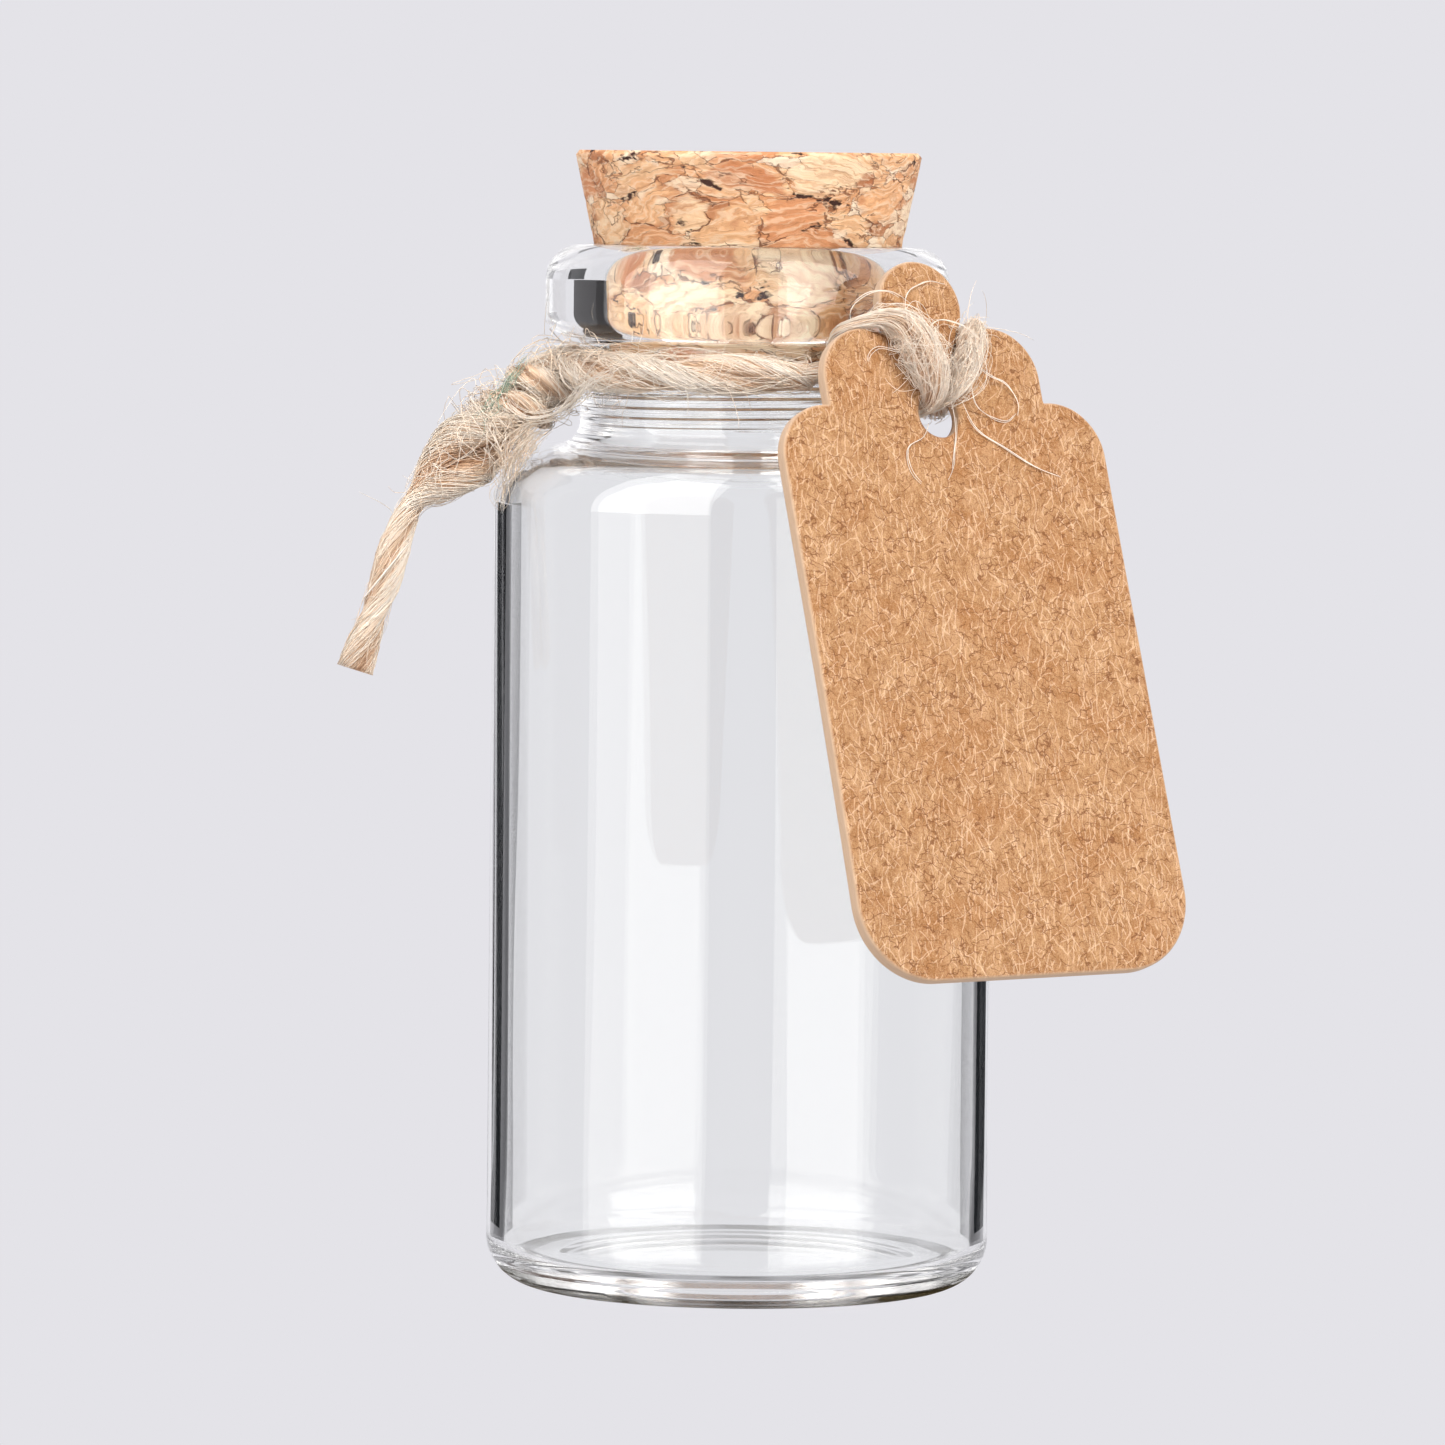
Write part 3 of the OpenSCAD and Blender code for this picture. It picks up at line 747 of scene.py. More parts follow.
def tubes(paths, radii, sides):
    """Thin closed tubes round many lines at once. Each ring is radius times (cos, sin) in two directions
    square to the line, and each end is closed by one point."""
    f, k, _ = paths.shape
    t = np.gradient(paths, axis=1)
    t /= np.maximum(np.linalg.norm(t, axis=2), 1e-9)[..., None]
    pick = np.eye(3)[np.abs(t.mean(1)).argmin(1)]
    a = np.cross(t, pick[:, None, :])
    a /= np.maximum(np.linalg.norm(a, axis=2), 1e-9)[..., None]
    b = np.cross(t, a)
    w = 2 * math.pi * np.arange(sides) / sides
    round_line = np.cos(w)[:, None] * a[:, :, None, :] + np.sin(w)[:, None] * b[:, :, None, :]
    ring = paths[:, :, None, :] + radii[:, :, None, None] * round_line
    points = np.concatenate([ring.reshape(f, k * sides, 3), paths[:, :1], paths[:, -1:]], 1)
    per = k * sides + 2
    quads = grid_quads(k, sides, wrap_columns=True)[:, ::-1]
    tris = end_fans(k, sides)[:, [0, 2, 1]]
    base = (np.arange(f) * per)[:, None, None]
    return points.reshape(-1, 3), (quads + base).reshape(-1, 4), (tris + base).reshape(-1, 3), per


def join(parts):
    """Several (points, quads, tris, tones) sets as one."""
    starts = np.cumsum([0] + [len(part[0]) for part in parts])
    points, tones = [part[0] for part in parts], [part[3] for part in parts]
    quads = [part[1] + start for part, start in zip(parts, starts)]
    tris = [part[2] + start for part, start in zip(parts, starts)]
    return tuple(np.concatenate(rows) for rows in (points, quads, tris, tones))


def fibre_set(rng, paths, thick, tone, sides=3):
    """Tubes along the given lines, thinning towards both ends. Each has its own tone between two bounds, or
    the tone given for each station of each line."""
    f, k, _ = paths.shape
    ends = np.sin(np.linspace(0.12, math.pi - 0.12, k)) ** 0.35
    radii = (thick * rng.uniform(0.75, 1.25, f))[:, None] * ends[None, :] / 2
    points, quads, tris, per = tubes(paths, radii, sides)
    if isinstance(tone, tuple):
        return points, quads, tris, np.repeat(rng.uniform(*tone, f), per)
    tones = np.concatenate([np.repeat(tone, sides, 1), tone[:, :1], tone[:, -1:]], 1)
    return points, quads, tris, tones.ravel()


def ply_place(strand, s, ply, local_out, local_angle, pitch, phase, flat, apart):
    """Point in a two-ply twine. The ply's middle goes round the centreline once per pitch, at the share apart
    of the twine's radius; the fibre goes round that middle at local_out times what is left of the radius.
    Apart may be a table of distances and shares, so that a frayed stretch loses its two ridges."""
    r = strand.radius(s)
    if not np.isscalar(apart):
        apart = np.interp(s, *apart)
    turn = 2 * math.pi * s / pitch + phase + ply * math.pi
    x = r * (apart * np.cos(turn) + (1.03 - apart) * local_out * np.cos(local_angle + turn)) * flat[0]
    y = r * (apart * np.sin(turn) + (1.03 - apart) * local_out * np.sin(local_angle + turn)) * flat[1]
    place = strand.at(strand.route, s)
    place = place + x[..., None] * strand.at(strand.side, s) + y[..., None] * strand.at(strand.other, s)
    return place, np.hypot(x / flat[0], y / flat[1]) / r


def column(rng, count):
    """A function that draws a column of even random numbers between two bounds."""
    return lambda low, high: rng.uniform(low, high, count)[:, None]


def twine_body(
    rng, strand, fibres, pitch, phase=0.0, thick=0.06, twist=0.035, flat=(1, 1), core=0.86, span=(6, 16),
    apart=0.47, loose=0.12, bright=0.72, painted_light_shade=((0, 1), (0, 0)),
):
    """A two-ply twine: two ridged plies as cores, and a coat of long fibres that lie on them at a slant. The
    coat has painted shade down in the groove and has lighter and darker sectors. It is lighter where the
    painted_light_shade table is below nought and browner where it is above: painted light and shade along the
    twine."""
    rows, sides, stations, core_tone = max(24, int(strand.length / 0.3)), 20, 16, 0.25
    s = np.linspace(0, strand.length, rows)
    w = np.linspace(0, 2 * math.pi, sides, endpoint=False)[None, :]
    ridged = core * (1 + 0.05 * np.sin(7 * w))
    quads, tris = grid_quads(rows, sides, wrap_columns=True), end_fans(rows, sides)
    parts = []
    for ply in (0, 1):
        along = np.repeat(s[:, None], sides, 1)
        grid, _ = ply_place(strand, along, ply, ridged, w, pitch, phase, flat, apart)
        points = np.concatenate([grid.reshape(-1, 3), np.stack([grid[0].mean(0), grid[-1].mean(0)])])
        way = -1 if signed_volume(points - points.mean(0), quads, tris) < 0 else 1
        parts.append((points, quads[:, ::way], tris[:, ::way], np.full(len(points), core_tone)))
    draw = column(rng, fibres)
    span_len = rng.uniform(*span, fibres)
    start = rng.uniform(-0.25, 1.0, fibres) * strand.length
    stop = np.clip(start + span_len, 0.5, strand.length + 0.02)
    start = np.clip(start, 0, stop - 0.5)
    s = start[:, None] + (stop - start)[:, None] * np.linspace(0, 1, stations)[None, :]
    ply = rng.integers(0, 2, fibres)[:, None]
    out = draw(0.90, 1.0 + loose)
    out = out + 0.4 * loose * np.sin(draw(0, TURN) + s * 1.1)
    first = draw(0, 2 * math.pi)
    angle = first + rng.normal(2 * math.pi * twist, 0.13, fibres)[:, None] * s
    angle = angle + 0.14 * np.sin(draw(0, TURN) + s * draw(0.5, 1.8))
    paths, share = ply_place(strand, s, ply, out, angle, pitch, phase, flat, apart)
    tone = bright + rng.normal(0, 0.13, fibres)[:, None]
    tone = tone + 0.16 * np.sin(3 * first + 2.4 * ply + 0.45 * s) - 0.12 * ply
    # painted shade down in the groove between the plies, and painted light and shade along the twine from the
    # table
    tone = tone - 1.7 * np.clip(0.97 - share, 0, 0.4) - np.interp(s, *painted_light_shade)
    parts.append(fibre_set(rng, paths, thick, np.clip(tone, 0, 1)))
    return parts


def curly_hairs(rng, strand, count, where, reach, lift, thick, curl, clear):
    """Loose hairs that keep to the twine: distance along it, angle round it and height over its skin are each
    a slow drift plus a wave, and the height is nought at both ends; clear() lifts them off what is near."""
    t = np.linspace(0, 1, 22)[None, :]
    draw = column(rng, count)
    s = draw(*where) * strand.length + draw(*reach) * rng.choice([-1, 1], count)[:, None] * (t - 0.5)
    s = s + curl * draw(0.1, 0.5) * np.sin(draw(0, TURN) + t * draw(4, 12))
    s = np.clip(s, 0.05, strand.length - 0.05)
    angle = draw(0, TURN) + rng.normal(0, 0.9, count)[:, None] * t
    angle = angle + curl * draw(0.1, 0.55) * np.sin(draw(0, TURN) + t * draw(4, 12))
    high = np.minimum(rng.exponential(lift, count), 2 * lift)[:, None] * np.sin(math.pi * t) ** 0.8
    high = high * (1 + 0.35 * np.sin(draw(0, TURN) + t * draw(3, 10)))
    paths = clear(strand.place(s, strand.radius(s) * 0.93 + high, angle))
    return fibre_set(rng, paths, thick, (0.5, 1.0))


def stray_fibres(rng, strand, count, where, reach, clear, along=0.7, thick=0.035, droop=0.25, curl=0.5):
    """Loose hairs: each leaves the twine's skin at a slant and bends on one curve, a cubic with three random
    control points, with a small wave; clear() then lifts it off what it would run into."""
    s = rng.uniform(*where, count) * strand.length
    angle = rng.uniform(0, 2 * math.pi, count)
    root = strand.place(s, 0.8 * strand.radius(s), angle)
    outward = strand.place(s, 1.8 * strand.radius(s), angle) - root
    outward /= np.linalg.norm(outward, axis=1)[:, None]
    way = strand.at(strand.heading, s) * rng.choice([-1, 1], count)[:, None]
    size = rng.uniform(*reach, count)[:, None]
    first = way * along + outward * (1 - along) + rng.normal(0, 0.15, (count, 3))
    second = way * along * 0.6 + outward * 0.8 + rng.normal(0, curl, (count, 3))
    third = second + rng.normal(0, curl, (count, 3)) + np.array([0, 0, -droop])
    t = np.linspace(0, 1, 14)[None, :, None]
    c1, c2, c3 = root + first * size * 0.35, root + second * size * 0.7, root + third * size
    paths = (
        (1 - t) ** 3 * root[:, None] + 3 * (1 - t) ** 2 * t * c1[:, None]
        + 3 * (1 - t) * t**2 * c2[:, None] + t**3 * c3[:, None]
    )
    wave = rng.normal(0, 1, (count, 3))[:, None] * np.sin(t * rng.uniform(3, 9, count)[:, None, None])
    return fibre_set(rng, clear(paths + wave * 0.03 * size[:, None]), thick, (0.45, 1.0))


def nothing_near(paths):
    """Leaves hairs as they are, where there is nothing that they could run into."""
    return paths


def off_the_glass(paths, gap=0.10):
    """Lifts points that would lie inside the bottle's outer form: outwards from side, neck and bead, away
    from the middle of the shoulder's rounding at the corner, and upwards from the shoulder's flat."""
    r, z = np.hypot(paths[..., 0], paths[..., 1]), paths[..., 2]
    mid_r, mid_z, corner = BODY_R - SHOULDER_R, SHOULDER_Z - SHOULDER_R, SHOULDER_R + gap
    far = np.maximum(np.hypot(r - mid_r, z - mid_z), 1e-6)
    out_r = np.where(z <= mid_z, np.maximum(r, BODY_R + gap), r)
    low = (z > mid_z) & (z < SHOULDER_Z + gap)
    in_corner = low & (r >= mid_r) & (far < corner)
    out_r = np.where(in_corner, mid_r + (r - mid_r) * corner / far, out_r)
    out_z = np.where(in_corner, mid_z + (z - mid_z) * corner / far, z)
    out_z = np.where(low & (r < mid_r), SHOULDER_Z + gap, out_z)
    tall = np.where(z > UNDER_BEAD, BEAD_R, NECK_R) + gap
    out_r = np.where((z >= SHOULDER_Z + gap) & (z < OVER_LIP) & (r < tall), tall, out_r)
    grow = out_r / np.maximum(r, 1e-6)
    return np.stack([paths[..., 0] * grow, paths[..., 1] * grow, out_z], -1)


def turn_route(a0, a1, step=12.0):
    """Points of the turn round the neck from angle a0 to a1, in degrees from the front towards the right."""
    a = np.radians(np.linspace(a0, a1, int(abs(a1 - a0) / step) + 2))
    one = np.ones(len(a))
    return np.stack([TURN_R * np.sin(a), -TURN_R * np.cos(a), TURN_Z * one, one], 1)


# routes of the knot and the tail: x, y, z and radius
KNOT = np.array([
    [-9.9, -3.2, 49.0, 1.05], [-10.4, -3.3, 48.8, 1.2], [-11.0, -3.4, 48.2, 1.35], [-11.8, -3.5, 47.4, 1.35],
    [-12.7, -3.7, 46.6, 1.4], [-13.6, -3.8, 45.8, 1.8], [-14.8, -4.0, 44.7, 1.9], [-15.9, -4.2, 43.7, 1.6],
    [-16.7, -4.3, 42.9, 1.35], [-17.3, -4.4, 42.4, 0.9],
])
TAIL = np.array([
    [-17.7, -4.4, 41.9, 0.78], [-18.1, -4.5, 41.0, 0.76], [-18.6, -4.6, 39.6, 0.78], [-19.0, -4.7, 38.0, 0.8],
    [-19.6, -4.8, 36.2, 0.84], [-20.2, -4.9, 34.4, 0.88], [-20.6, -5.0, 33.1, 0.9],
])
# the frayed tuft over the shoulder, the loose loops under the knot, the green fibres along the knot's upper
# edge and one pale fibre across the tail
TUFT = np.array([
    [-10.5, -5.4, 46.4, 0.6], [-11.5, -5.7, 45.6, 0.8], [-12.2, -5.6, 44.7, 0.8], [-12.6, -5.3, 43.6, 0.6],
    [-12.85, -4.9, 42.5, 0.4], [-12.95, -4.7, 41.4, 0.15],
])
LOOPS = np.array([
    [-12.9, -5.2, 48.2, 0.25], [-12.5, -5.6, 47.2, 0.35], [-11.6, -5.9, 46.6, 0.4], [-10.3, -6.2, 46.7, 0.4],
    [-9.2, -7.3, 47.4, 0.35], [-8.2, -8.3, 48.4, 0.35], [-7.0, -9.4, 49.2, 0.3], [-5.6, -10.2, 49.5, 0.3],
])
GREEN = np.array([
    [-11.6, -4.6, 49.9, 0.2], [-12.5, -4.9, 48.6, 0.3], [-13.4, -5.1, 47.3, 0.35], [-13.9, -5.65, 46.2, 0.35],
    [-14.1, -5.85, 45.2, 0.2],
])
PALE_FIBRE = np.array([[-17.8, -6.1, 39.9, 0.01], [-19.0, -6.4, 38.4, 0.01], [-20.2, -6.1, 36.9, 0.01]])
# the hitch in the tag's frame: right, up, out, radius
HITCH = np.array([
    [-3.8, 3.8, -2.7, 0.6], [-4.1, 4.5, -2.0, 0.5], [-4.3, 5.0, -1.2, 0.4], [-4.15, 5.08, -0.4, 0.34],
    [-3.6, 5.12, 0.3, 0.38], [-2.7, 5.1, 0.85, 0.55], [-1.9, 4.7, 1.2, 0.85], [-1.35, 3.9, 1.35, 1.0],
    [-0.95, 2.9, 1.35, 1.05], [-0.65, 1.9, 1.25, 0.98], [-0.5, 1.15, 0.95, 0.75], [-0.45, 0.75, 0.35, 0.5],
    [-0.45, 0.7, -0.35, 0.45], [-0.3, 0.9, -1.0, 0.5], [0.4, 1.8, -1.25, 0.5], [1.5, 3.2, -1.25, 0.5],
    [2.5, 4.4, -1.1, 0.42], [3.0, 4.9, -0.5, 0.30], [3.05, 4.92, 0.2, 0.30], [2.85, 4.6, 0.7, 0.42],
    [2.4, 3.8, 1.0, 0.58], [1.95, 2.9, 1.1, 0.66], [1.5, 1.9, 1.05, 0.62], [1.05, 1.25, 0.85, 0.48],
    [0.65, 0.9, 0.35, 0.38], [0.6, 0.85, -0.35, 0.38], [0.75, 1.1, -1.0, 0.45], [1.1, 1.5, -1.8, 0.55],
    [1.6, 1.6, -2.5, 0.6],
])
LEG = np.array([[2.0, 1.6, -3.1, 0.8], [2.5, 1.9, -3.8, 0.9], [3.1, 2.4, -4.5, 1.0]])
# long hairs of the hitch, in the tag's frame
HAIRS = (
    [[1.9, 2.4, 1.6], [3.2, 1.93, 0.9], [4.35, 1.54, 0.6], [4.97, 0.37, 0.5], [4.7, -0.35, 0.5]],
    [[0.9, 0.6, 1.2], [2.06, -0.85, 0.55], [3.63, -1.85, 0.5], [6.58, -3.41, 0.5], [7.64, -3.63, 0.5]],
    [[-0.7, 0.4, 1.0], [-1.3, -1.3, 0.55], [-2.35, -1.85, 0.5], [-2.4, -3.0, 0.5], [-1.36, -4.4, 0.5]],
    [[0.5, 0.6, 1.1], [0.8, -1.1, 0.55], [0.55, -1.85, 0.5], [0.3, -2.9, 0.5], [-0.36, -3.8, 0.5]],
    [[-1.9, 5.0, 1.8], [-1.4, 6.0, 1.2], [-0.52, 6.77, 0.7], [0.61, 7.16, 0.55], [1.88, 7.05, 0.55]],
    [[-4.6, 5.0, 0.3], [-4.5, 5.72, 0.6], [-3.5, 6.44, 0.9], [-2.36, 6.55, 1.0], [-0.72, 5.83, 0.8]],
    [[-1.5, 3.6, 2.3], [-2.4, 3.2, 1.2], [-3.2, 3.6, 0.6], [-3.9, 2.9, 0.5], [-3.6, 2.2, 0.5]],
    [[2.3, 3.6, 2.0], [1.6, 4.6, 1.4], [0.6, 5.0, 0.9], [-0.2, 4.4, 0.9], [-0.3, 3.4, 1.6]],
    [[1.4, 1.6, 1.8], [2.2, 0.3, 0.9], [3.2, -0.2, 0.55], [4.2, -0.4, 0.5], [4.9, 0.2, 0.5]],
)


def wrap_route(middle, axis, size, slant, rise):
    """One wrap of the knot: a ring about the knot's axis that leans by the slant and moves along the axis,
    thinner at both ends."""
    axis = np.array(axis) / np.linalg.norm(axis)
    near = np.cross(np.cross(axis, (0, -1, 0)), axis)
    near /= np.linalg.norm(near)
    up = np.cross(axis, near)
    a = np.radians(np.linspace(-170, 190, 19))[:, None]
    ring = np.array(middle) + size * (np.cos(a) * near + np.sin(a) * (up + slant * axis))
    return np.concatenate([ring + rise * a / TURN * axis, 0.62 - 0.18 * (np.abs(a) > 2.6)], 1)


def placed(points):
    """Route points of the tag's own frame, carried to the part's frame, with their radii."""
    return np.concatenate([on_tag(points[:, :3]), points[:, 3:]], 1)


def make_twine(name, parts, nodes, body, core_parts=2):
    """Joins a twine's parts to one piece; its first parts are the plies and take the core finish."""
    points, quads, tris, tones = join(parts)
    piece = make_piece(name, points, quads, tris, JUTE, tones=tones)
    piece.data.materials.append(JUTE_CORE)
    inside = sum(len(p[0]) for p in parts[:core_parts])
    first = np.zeros(len(piece.data.polygons), np.int32)
    piece.data.polygons.foreach_get("loop_start", first)
    corner = np.zeros(len(piece.data.loops), np.int32)
    piece.data.loops.foreach_get("vertex_index", corner)
    piece.data.polygons.foreach_set("material_index", (corner[first] < inside).astype(np.int32))
    if nodes:
        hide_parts(*nodes)
    if body:
        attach(piece, body)
    return piece


def bundle(rng, table, count, thick, wave, span, tone, clear):
    """Loose fibres side by side along a drawn line, each at its own place in the line's radius and with its
    own start, end, drift round it and small waves."""
    strand = Strand(table, (0, 1, 0))
    t = np.linspace(0, 1, 26)[None, :]
    draw = column(rng, count)
    first = draw(0, 0.25) if span[0] < 1 else 0.0
    s = (first + t * (draw(*span) - first)) * strand.length
    out = np.sqrt(draw(0, 1)) * strand.radius(s) + wave * t * np.sin(draw(0, TURN) + t * draw(6, 16))
    angle = draw(0, TURN) + draw(-1.2, 1.2) * t
    return fibre_set(rng, clear(strand.place(s, out, angle)), thick, tone)


def off_the_card(paths):
    """Lifts points of hairs that lie in front of or in the card to just over its face."""
    out = (paths - HOLE_AT) @ TAG_OUT
    return paths + np.clip(0.47 - out, 0, 1.6)[..., None] * TAG_OUT


def share_at(strand, point):
    """Share of a strand's length at which it passes a point of the tag's frame."""
    near = np.linalg.norm(strand.route[:, :3] - on_tag(point), axis=1).argmin()
    return strand.run[near] / strand.length


# two loose wraps of the knot: middle, lean and rise
KNOT_AXIS, WRAP_SIZE = (-0.75, -0.13, -0.64), 1.25
WRAPS = (((-10.9, -3.4, 48.35), 0.35, 0.5), ((-12.1, -3.6, 47.1), 0.45, 0.4))
# curly hairs of the front twine: number, shares of its length, reach, height, thickness, curl and clearance
CURLS = (
    (170, (0.0, 0.42), (2, 7), 0.22, 0.035, 1.0, off_the_glass),
    (60, (0.30, 0.46), (2, 5), 0.60, 0.035, 1.8, off_the_glass),
    (150, (0.43, 0.60), (1, 4), 0.60, 0.042, 2.6, off_the_glass),
    (50, (0.58, 0.76), (2, 5), 0.10, 0.035, 1.0, off_the_glass),
    (30, (0.76, 1.0), (2, 6), 0.03, 0.035, 1.0, nothing_near),
)
# its stray hairs: number, shares of its length, reach, clearance and how much they run along it
STRAYS = (
    (26, (0.02, 0.42), (0.8, 2.2), off_the_glass, 0.7),
    (26, (0.42, 0.60), (0.3, 0.8), off_the_glass, 0.5),
    (6, (0.7, 1.0), (0.6, 2.4), nothing_near, 0.9),
)
# its bundles: line, number, thickness, wave, shares at which fibres end, tones and clearance
BUNDLES = (
    (TUFT, 105, 0.034, 0.4, (0.4, 1.0), (0.4, 1.0), off_the_glass),
    (LOOPS, 16, 0.05, 0.2, (0.6, 1.0), (0.8, 1.0), off_the_glass),
    (PALE_FIBRE, 1, 0.15, 0.0, (1.0, 1.0), (1.0, 1.0), nothing_near),
)
GREEN_BUNDLE = (GREEN, 14, 0.032, 0.35, (0.4, 1.0), (0.0, 0.7), off_the_glass)
# the hitch's two arms in front of the card, each from one point of the tag's frame to another
ARMS = (((-2.7, 5.1, 0.85), (-0.5, 1.1, 0.9)), ((2.85, 4.6, 0.7), (1.05, 1.25, 0.85)))

rng = np.random.default_rng(7)
front_strand = Strand(np.concatenate([turn_route(19, -64), KNOT, TAIL]), (0, 0, 1))
front_parts = twine_body(
    rng, front_strand, 1380, pitch=13.0, phase=1.21, thick=0.055,
    apart=([0, 14, 18, 22, 27, 36], [0.46, 0.44, 0.36, 0.52, 0.40, 0.34]),
    # painted light along the turn and the knot, least at the upper bulge, and a little painted shade at the
    # tail's end
    painted_light_shade=([0, 14, 16.5, 20.0, 21.5, 36], [-0.25, -0.20, -0.05, -0.10, -0.20, 0.03]),
)
for middle, slant, rise in WRAPS:
    wrap = Strand(wrap_route(middle, KNOT_AXIS, WRAP_SIZE, slant, rise), (0, 0, 1))
    wrap_parts = twine_body(
        rng, wrap, 260, pitch=9.0, thick=0.045, loose=0.3, span=(3, 7), bright=0.80,
        # painted shade at both ends of each wrap, where it goes in under the knot
        painted_light_shade=((0, 2, 6, 8), (0.4, 0, 0, 0.4)),
    )
    front_parts = front_parts[:2] + wrap_parts + front_parts[2:]
front = make_twine(
    "twine_front_knot_tail", front_parts, ["front_twine", "twine_knot", "twine_tail"], "bottle"
)
back_strand = Strand(np.concatenate([placed(LEG), turn_route(86, 276)]), (0, 0, 1))
back = make_twine(
    "twine_back_turn", twine_body(rng, back_strand, 900, pitch=13.0, phase=1.4), ["back_twine"], "bottle"
)
hitch_strand = Strand(
    np.concatenate([turn_route(17, 19)[-1:] * [1, 1, 1, 0.9], placed(HITCH), placed(LEG[:2])]), TAG_RIGHT
)
hitch = make_twine(
    "twine_tag_hitch",
    twine_body(
        rng, hitch_strand, 1500, pitch=40.0, phase=0.3, thick=0.04, twist=0.01, flat=(1.2, 0.8), span=(3, 9),
        apart=0.40, loose=0.30, core=0.74, bright=0.86,
    ),
    ["tag_hitch"], None,
)
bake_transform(hitch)
fuzz_parts = [curly_hairs(rng, front_strand, *row) for row in CURLS]
fuzz_parts += [stray_fibres(rng, front_strand, *row) for row in STRAYS]
fuzz_parts += [bundle(rng, *row) for row in BUNDLES]
front_fuzz = make_twine("twine_front_fuzz", fuzz_parts, [], "bottle", 0)
green = make_twine("twine_green_fibres", [bundle(rng, *GREEN_BUNDLE)], [], "bottle", 0)
green.data.materials[0] = JUTE_GREEN
arms = [tuple(share_at(hitch_strand, end) for end in ends) for ends in ARMS]
hitch_parts = [
    curly_hairs(rng, hitch_strand, 150, arm, (1.5, 4), 0.28, 0.03, 1.5, off_the_card) for arm in arms
]
hitch_parts += [stray_fibres(rng, hitch_strand, 22, arm, (0.5, 1.8), off_the_card) for arm in arms]
for line in HAIRS:
    table = placed(np.c_[np.array(line), np.full(len(line), 0.08)])
    hitch_parts.append(bundle(rng, table, 2, 0.05, 0.05, (0.8, 1.0), (0.8, 1.0), off_the_card))
hitch_fuzz = make_twine("twine_hitch_fuzz", hitch_parts, [], "tag", 0)
back_fuzz = make_twine(
    "twine_back_fuzz",
    [
        curly_hairs(rng, back_strand, 300, (0.0, 1.0), (2, 7), 0.22, 0.035, 1.0, off_the_glass),
        stray_fibres(rng, back_strand, 40, (0.0, 1.0), (0.8, 2.4), off_the_glass),
    ],
    [], "bottle", 0,
)


# Studio, in metres
PALE, WARM_WHITE, LAMP_WHITE = (0.776, 0.768, 0.807), (1.0, 0.99, 0.975), (1.0, 0.985, 0.96)
BLACK, BLACK_HIGH, BROWN = (0.012, 0.013, 0.015), (0.012, 0.010, 0.010), (0.09, 0.045, 0.025)
OLIVE_SHADE, SHADE_FROM, SHADE_TO = (0.06, 0.045, 0.02), 0.0128, 0.0150
BOARD_FAR, PANEL_FAR, FLOOR_HALF, LIGHT_AIM = 0.4, 0.5, 4, Vector((0, 0, 0.035))
MAX_BOUNCES, GLOSSY_BOUNCES, TRANSMISSION_BOUNCES = 160, 150, 150
CORNERS = ((-1, -1), (1, -1), (1, 1), (-1, 1))


def glow(name, colour, strength):
    """Plain light-giving finish."""
    m = bpy.data.materials.new(name)
    m.use_nodes = True
    m.node_tree.nodes.clear()
    out = m.node_tree.nodes.new("ShaderNodeOutputMaterial")
    e = m.node_tree.nodes.new("ShaderNodeEmission")
    e.inputs[0].default_value, e.inputs[1].default_value = (*colour, 1), strength
    m.node_tree.links.new(e.outputs[0], out.inputs[0])
    return m


def panel(name, centre, facing, width, height, material):
    """A flat upright panel: centre, the way it faces, width and height."""
    f, c = Vector(facing).normalized(), Vector(centre)
    side = Vector((0, 0, 1)).cross(f).normalized()
    up = f.cross(side)
    corners = [c + side * (i * width / 2) + up * (j * height / 2) for i, j in CORNERS]
    piece = make_piece(name, np.array(corners) / MM, [[0, 1, 2, 3]], None, material, False)
    piece.visible_camera = False
    return piece


# side, first and last angle behind the bottle in degrees, lowest and highest point, colour, and whether
# the outer skin of the glass mirrors it
BOARDS = (
    ("left", 25, 41, -0.0475, 0.034, BLACK, True),
    ("right", 25, 41, -0.0475, 0.034, BLACK, True),
    ("left_edge", 17, 25, -0.0475, 0.034, BLACK, False),
    ("right_edge", 17, 25, -0.0475, 0.034, BLACK, False),
    ("left_high", 27, 70, 0.038, 0.35, BLACK_HIGH, False),
    ("right_high", 27, 66, 0.038, 0.25, BROWN, False),
)
# side, angle in front in degrees, width, lowest and highest point, strength
PANELS = (
    ("left", 45, 0.55, -0.3, 0.033, 2.05),
    ("right", 40, 0.335, -0.3, 0.033, 1.95),
    ("left_high", 45, 0.55, 0.033, 1.6, 4.2),
    ("right_high", 45, 0.425, 0.033, 1.6, 4.4),
)
# name, place, size and power in watts
LIGHTS = (("key_light", (0.30, -0.42, 0.42), 0.25, 7.0), ("fill_light", (-0.45, -0.35, 0.25), 0.4, 6.0))


def soft_light(name, place, size, power):
    """A square soft light aimed at the body's upper half, seen only by what it lights."""
    data = bpy.data.lights.new(name, "AREA")
    data.shape, data.size, data.energy, data.color = "SQUARE", size, power, LAMP_WHITE
    light = bpy.data.objects.new(name, data)
    bpy.context.scene.collection.objects.link(light)
    light.matrix_world = aimed(Vector(place), LIGHT_AIM)
    light.visible_camera = light.visible_glossy = light.visible_transmission = False


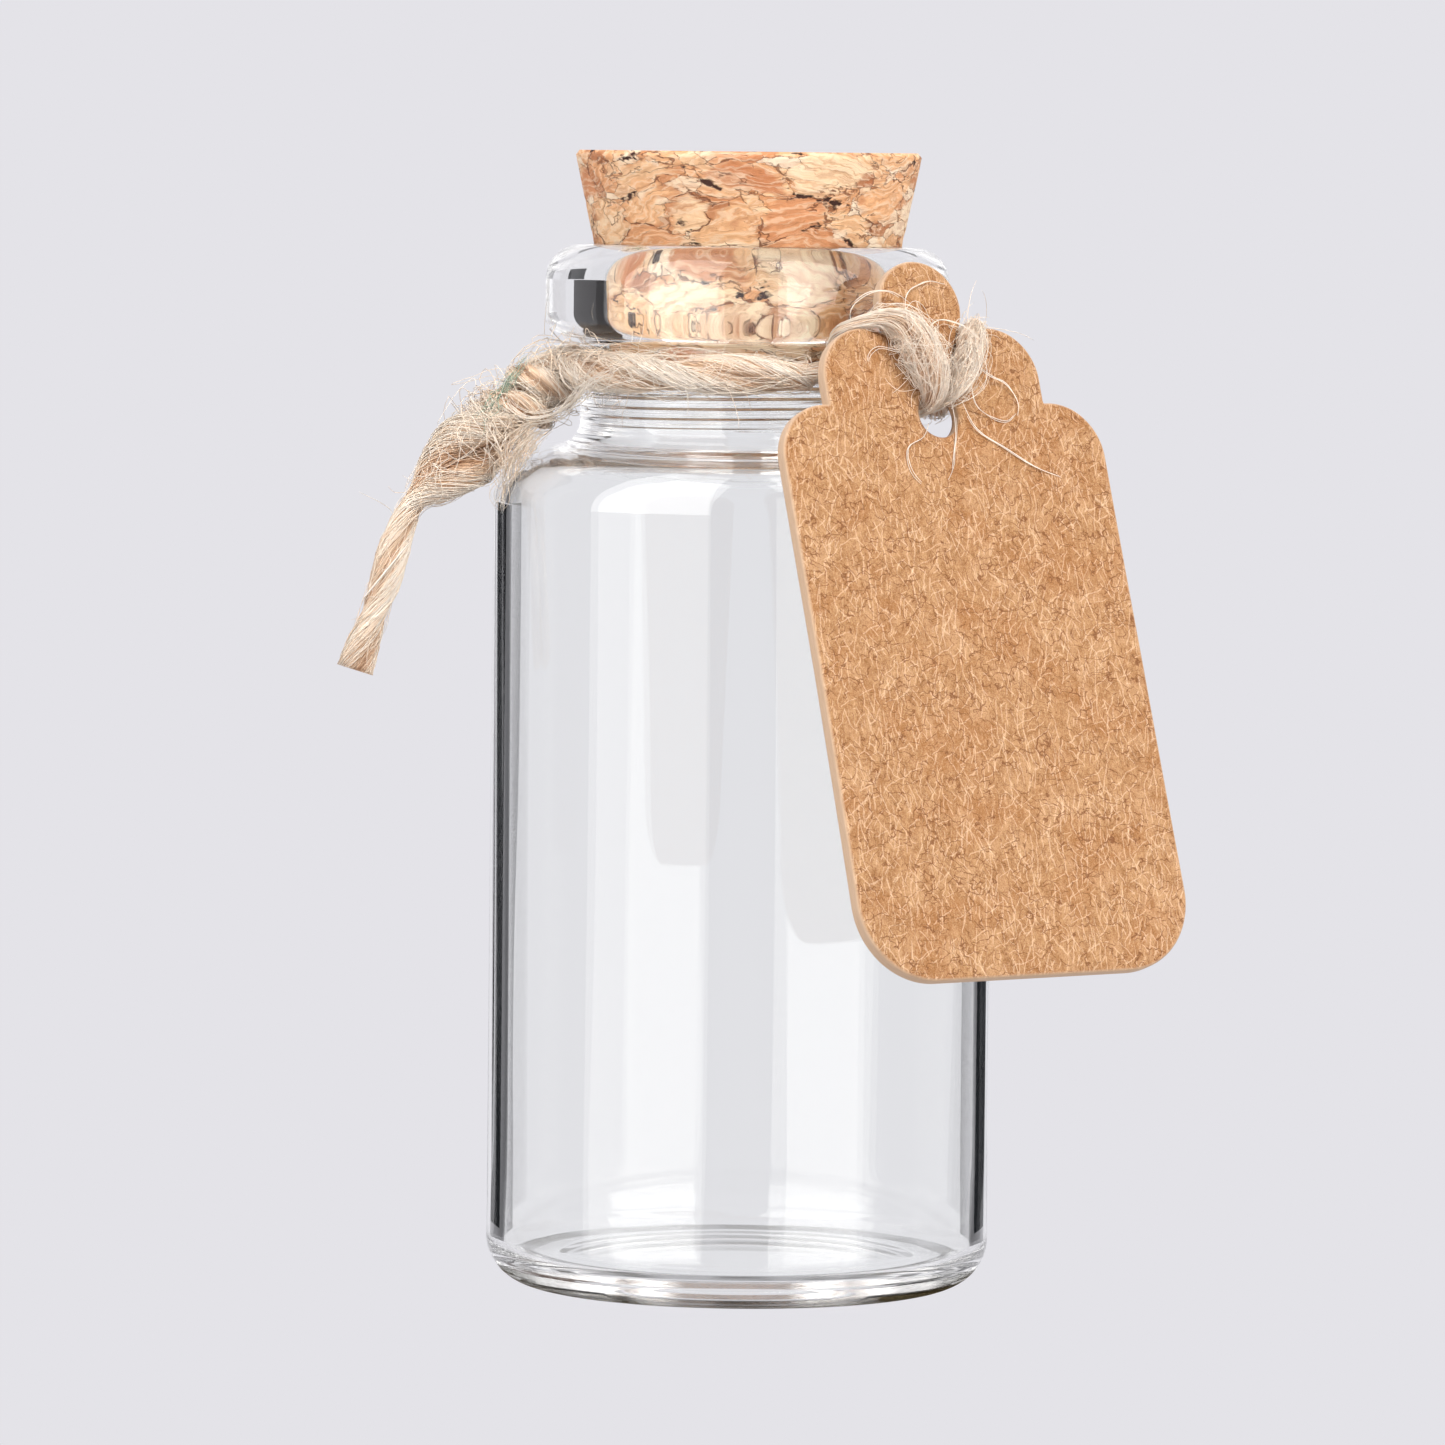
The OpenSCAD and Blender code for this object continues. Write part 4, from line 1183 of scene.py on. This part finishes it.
def lay_floor():
    """A pale floor, and the shaded place that the bottle stands on, a disc that only mirrors show: the heel's
    underside is dark from it. The disc is rings of points about the axis, just below the floor."""
    square = np.array([[i * FLOOR_HALF, j * FLOOR_HALF, 0] for i, j in CORNERS]) / MM
    floor = make_piece("studio_floor", square, [[0, 1, 2, 3]], None, glow("floor_pale", PALE, 1.0), False)
    floor.visible_glossy = floor.visible_transmission = False
    a, r = np.linspace(-math.pi, math.pi, 97)[None, :], np.array([0.5, 9.0, 12.0, 13.5, 15.0, 34.0])[:, None]
    spot = np.stack([r * np.cos(a), r * np.sin(a), 0 * a * r - 0.03], -1)
    look = glow("shaded_place", PALE, 1.0)
    tree = look.node_tree
    off = vector_node(tree, "LENGTH", {0: object_place(tree)})["Value"]
    shade = ramp(tree, step_between(tree, off, SHADE_FROM, SHADE_TO), [(0.0, OLIVE_SHADE), (1.0, PALE)])
    tree.links.new(shade, next(n for n in tree.nodes if n.type == "EMISSION").inputs[0])
    place = make_piece("shaded_place", spot, grid_quads(*spot.shape[:2]), None, look, False)
    place.visible_camera = place.visible_diffuse = place.visible_transmission = False


def set_studio():
    """Pale even surround, the floor, soft panels in front, dark boards behind the sides and two lights."""
    world = bpy.data.worlds.new("studio_surround")
    bpy.context.scene.world = world
    world.use_nodes = True
    world.node_tree.nodes["Background"].inputs[0].default_value = (*PALE, 1)
    world.node_tree.nodes["Background"].inputs[1].default_value = 1.0
    lay_floor()
    for name, angle, width, low, high, strength in PANELS:
        hand = -1 if name.startswith("left") else 1
        a = math.radians(angle)
        soft = panel(
            f"soft_panel_{name}",
            (hand * PANEL_FAR * math.sin(a), -PANEL_FAR * math.cos(a), (low + high) / 2),
            (-hand * math.sin(a), math.cos(a), 0), width, high - low,
            glow(f"soft_panel_{name}_finish", WARM_WHITE, strength),
        )
        soft.visible_diffuse = False
    for name, first, last, low, high, colour, mirrored in BOARDS:
        hand = -1 if name.startswith("left") else 1
        a, half = math.radians((first + last) / 2), math.radians((last - first) / 2)
        near = BOARD_FAR * math.cos(half)
        board = panel(
            f"board_{name}", (hand * near * math.sin(a), near * math.cos(a), (low + high) / 2),
            (-hand * math.sin(a), -math.cos(a), 0), 2 * BOARD_FAR * math.sin(half), high - low,
            glow(f"board_{name}_finish", colour, 1.0),
        )
        board.visible_diffuse, board.visible_glossy = False, mirrored
    for row in LIGHTS:
        soft_light(*row)
    scene = bpy.context.scene
    # light goes round inside the thick heel and rim many times before it leaves
    scene.cycles.max_bounces, scene.cycles.glossy_bounces = MAX_BOUNCES, GLOSSY_BOUNCES
    scene.cycles.transmission_bounces = TRANSMISSION_BOUNCES
    scene.view_settings.view_transform = "Standard"
    scene.view_settings.look = "None"

set_studio()
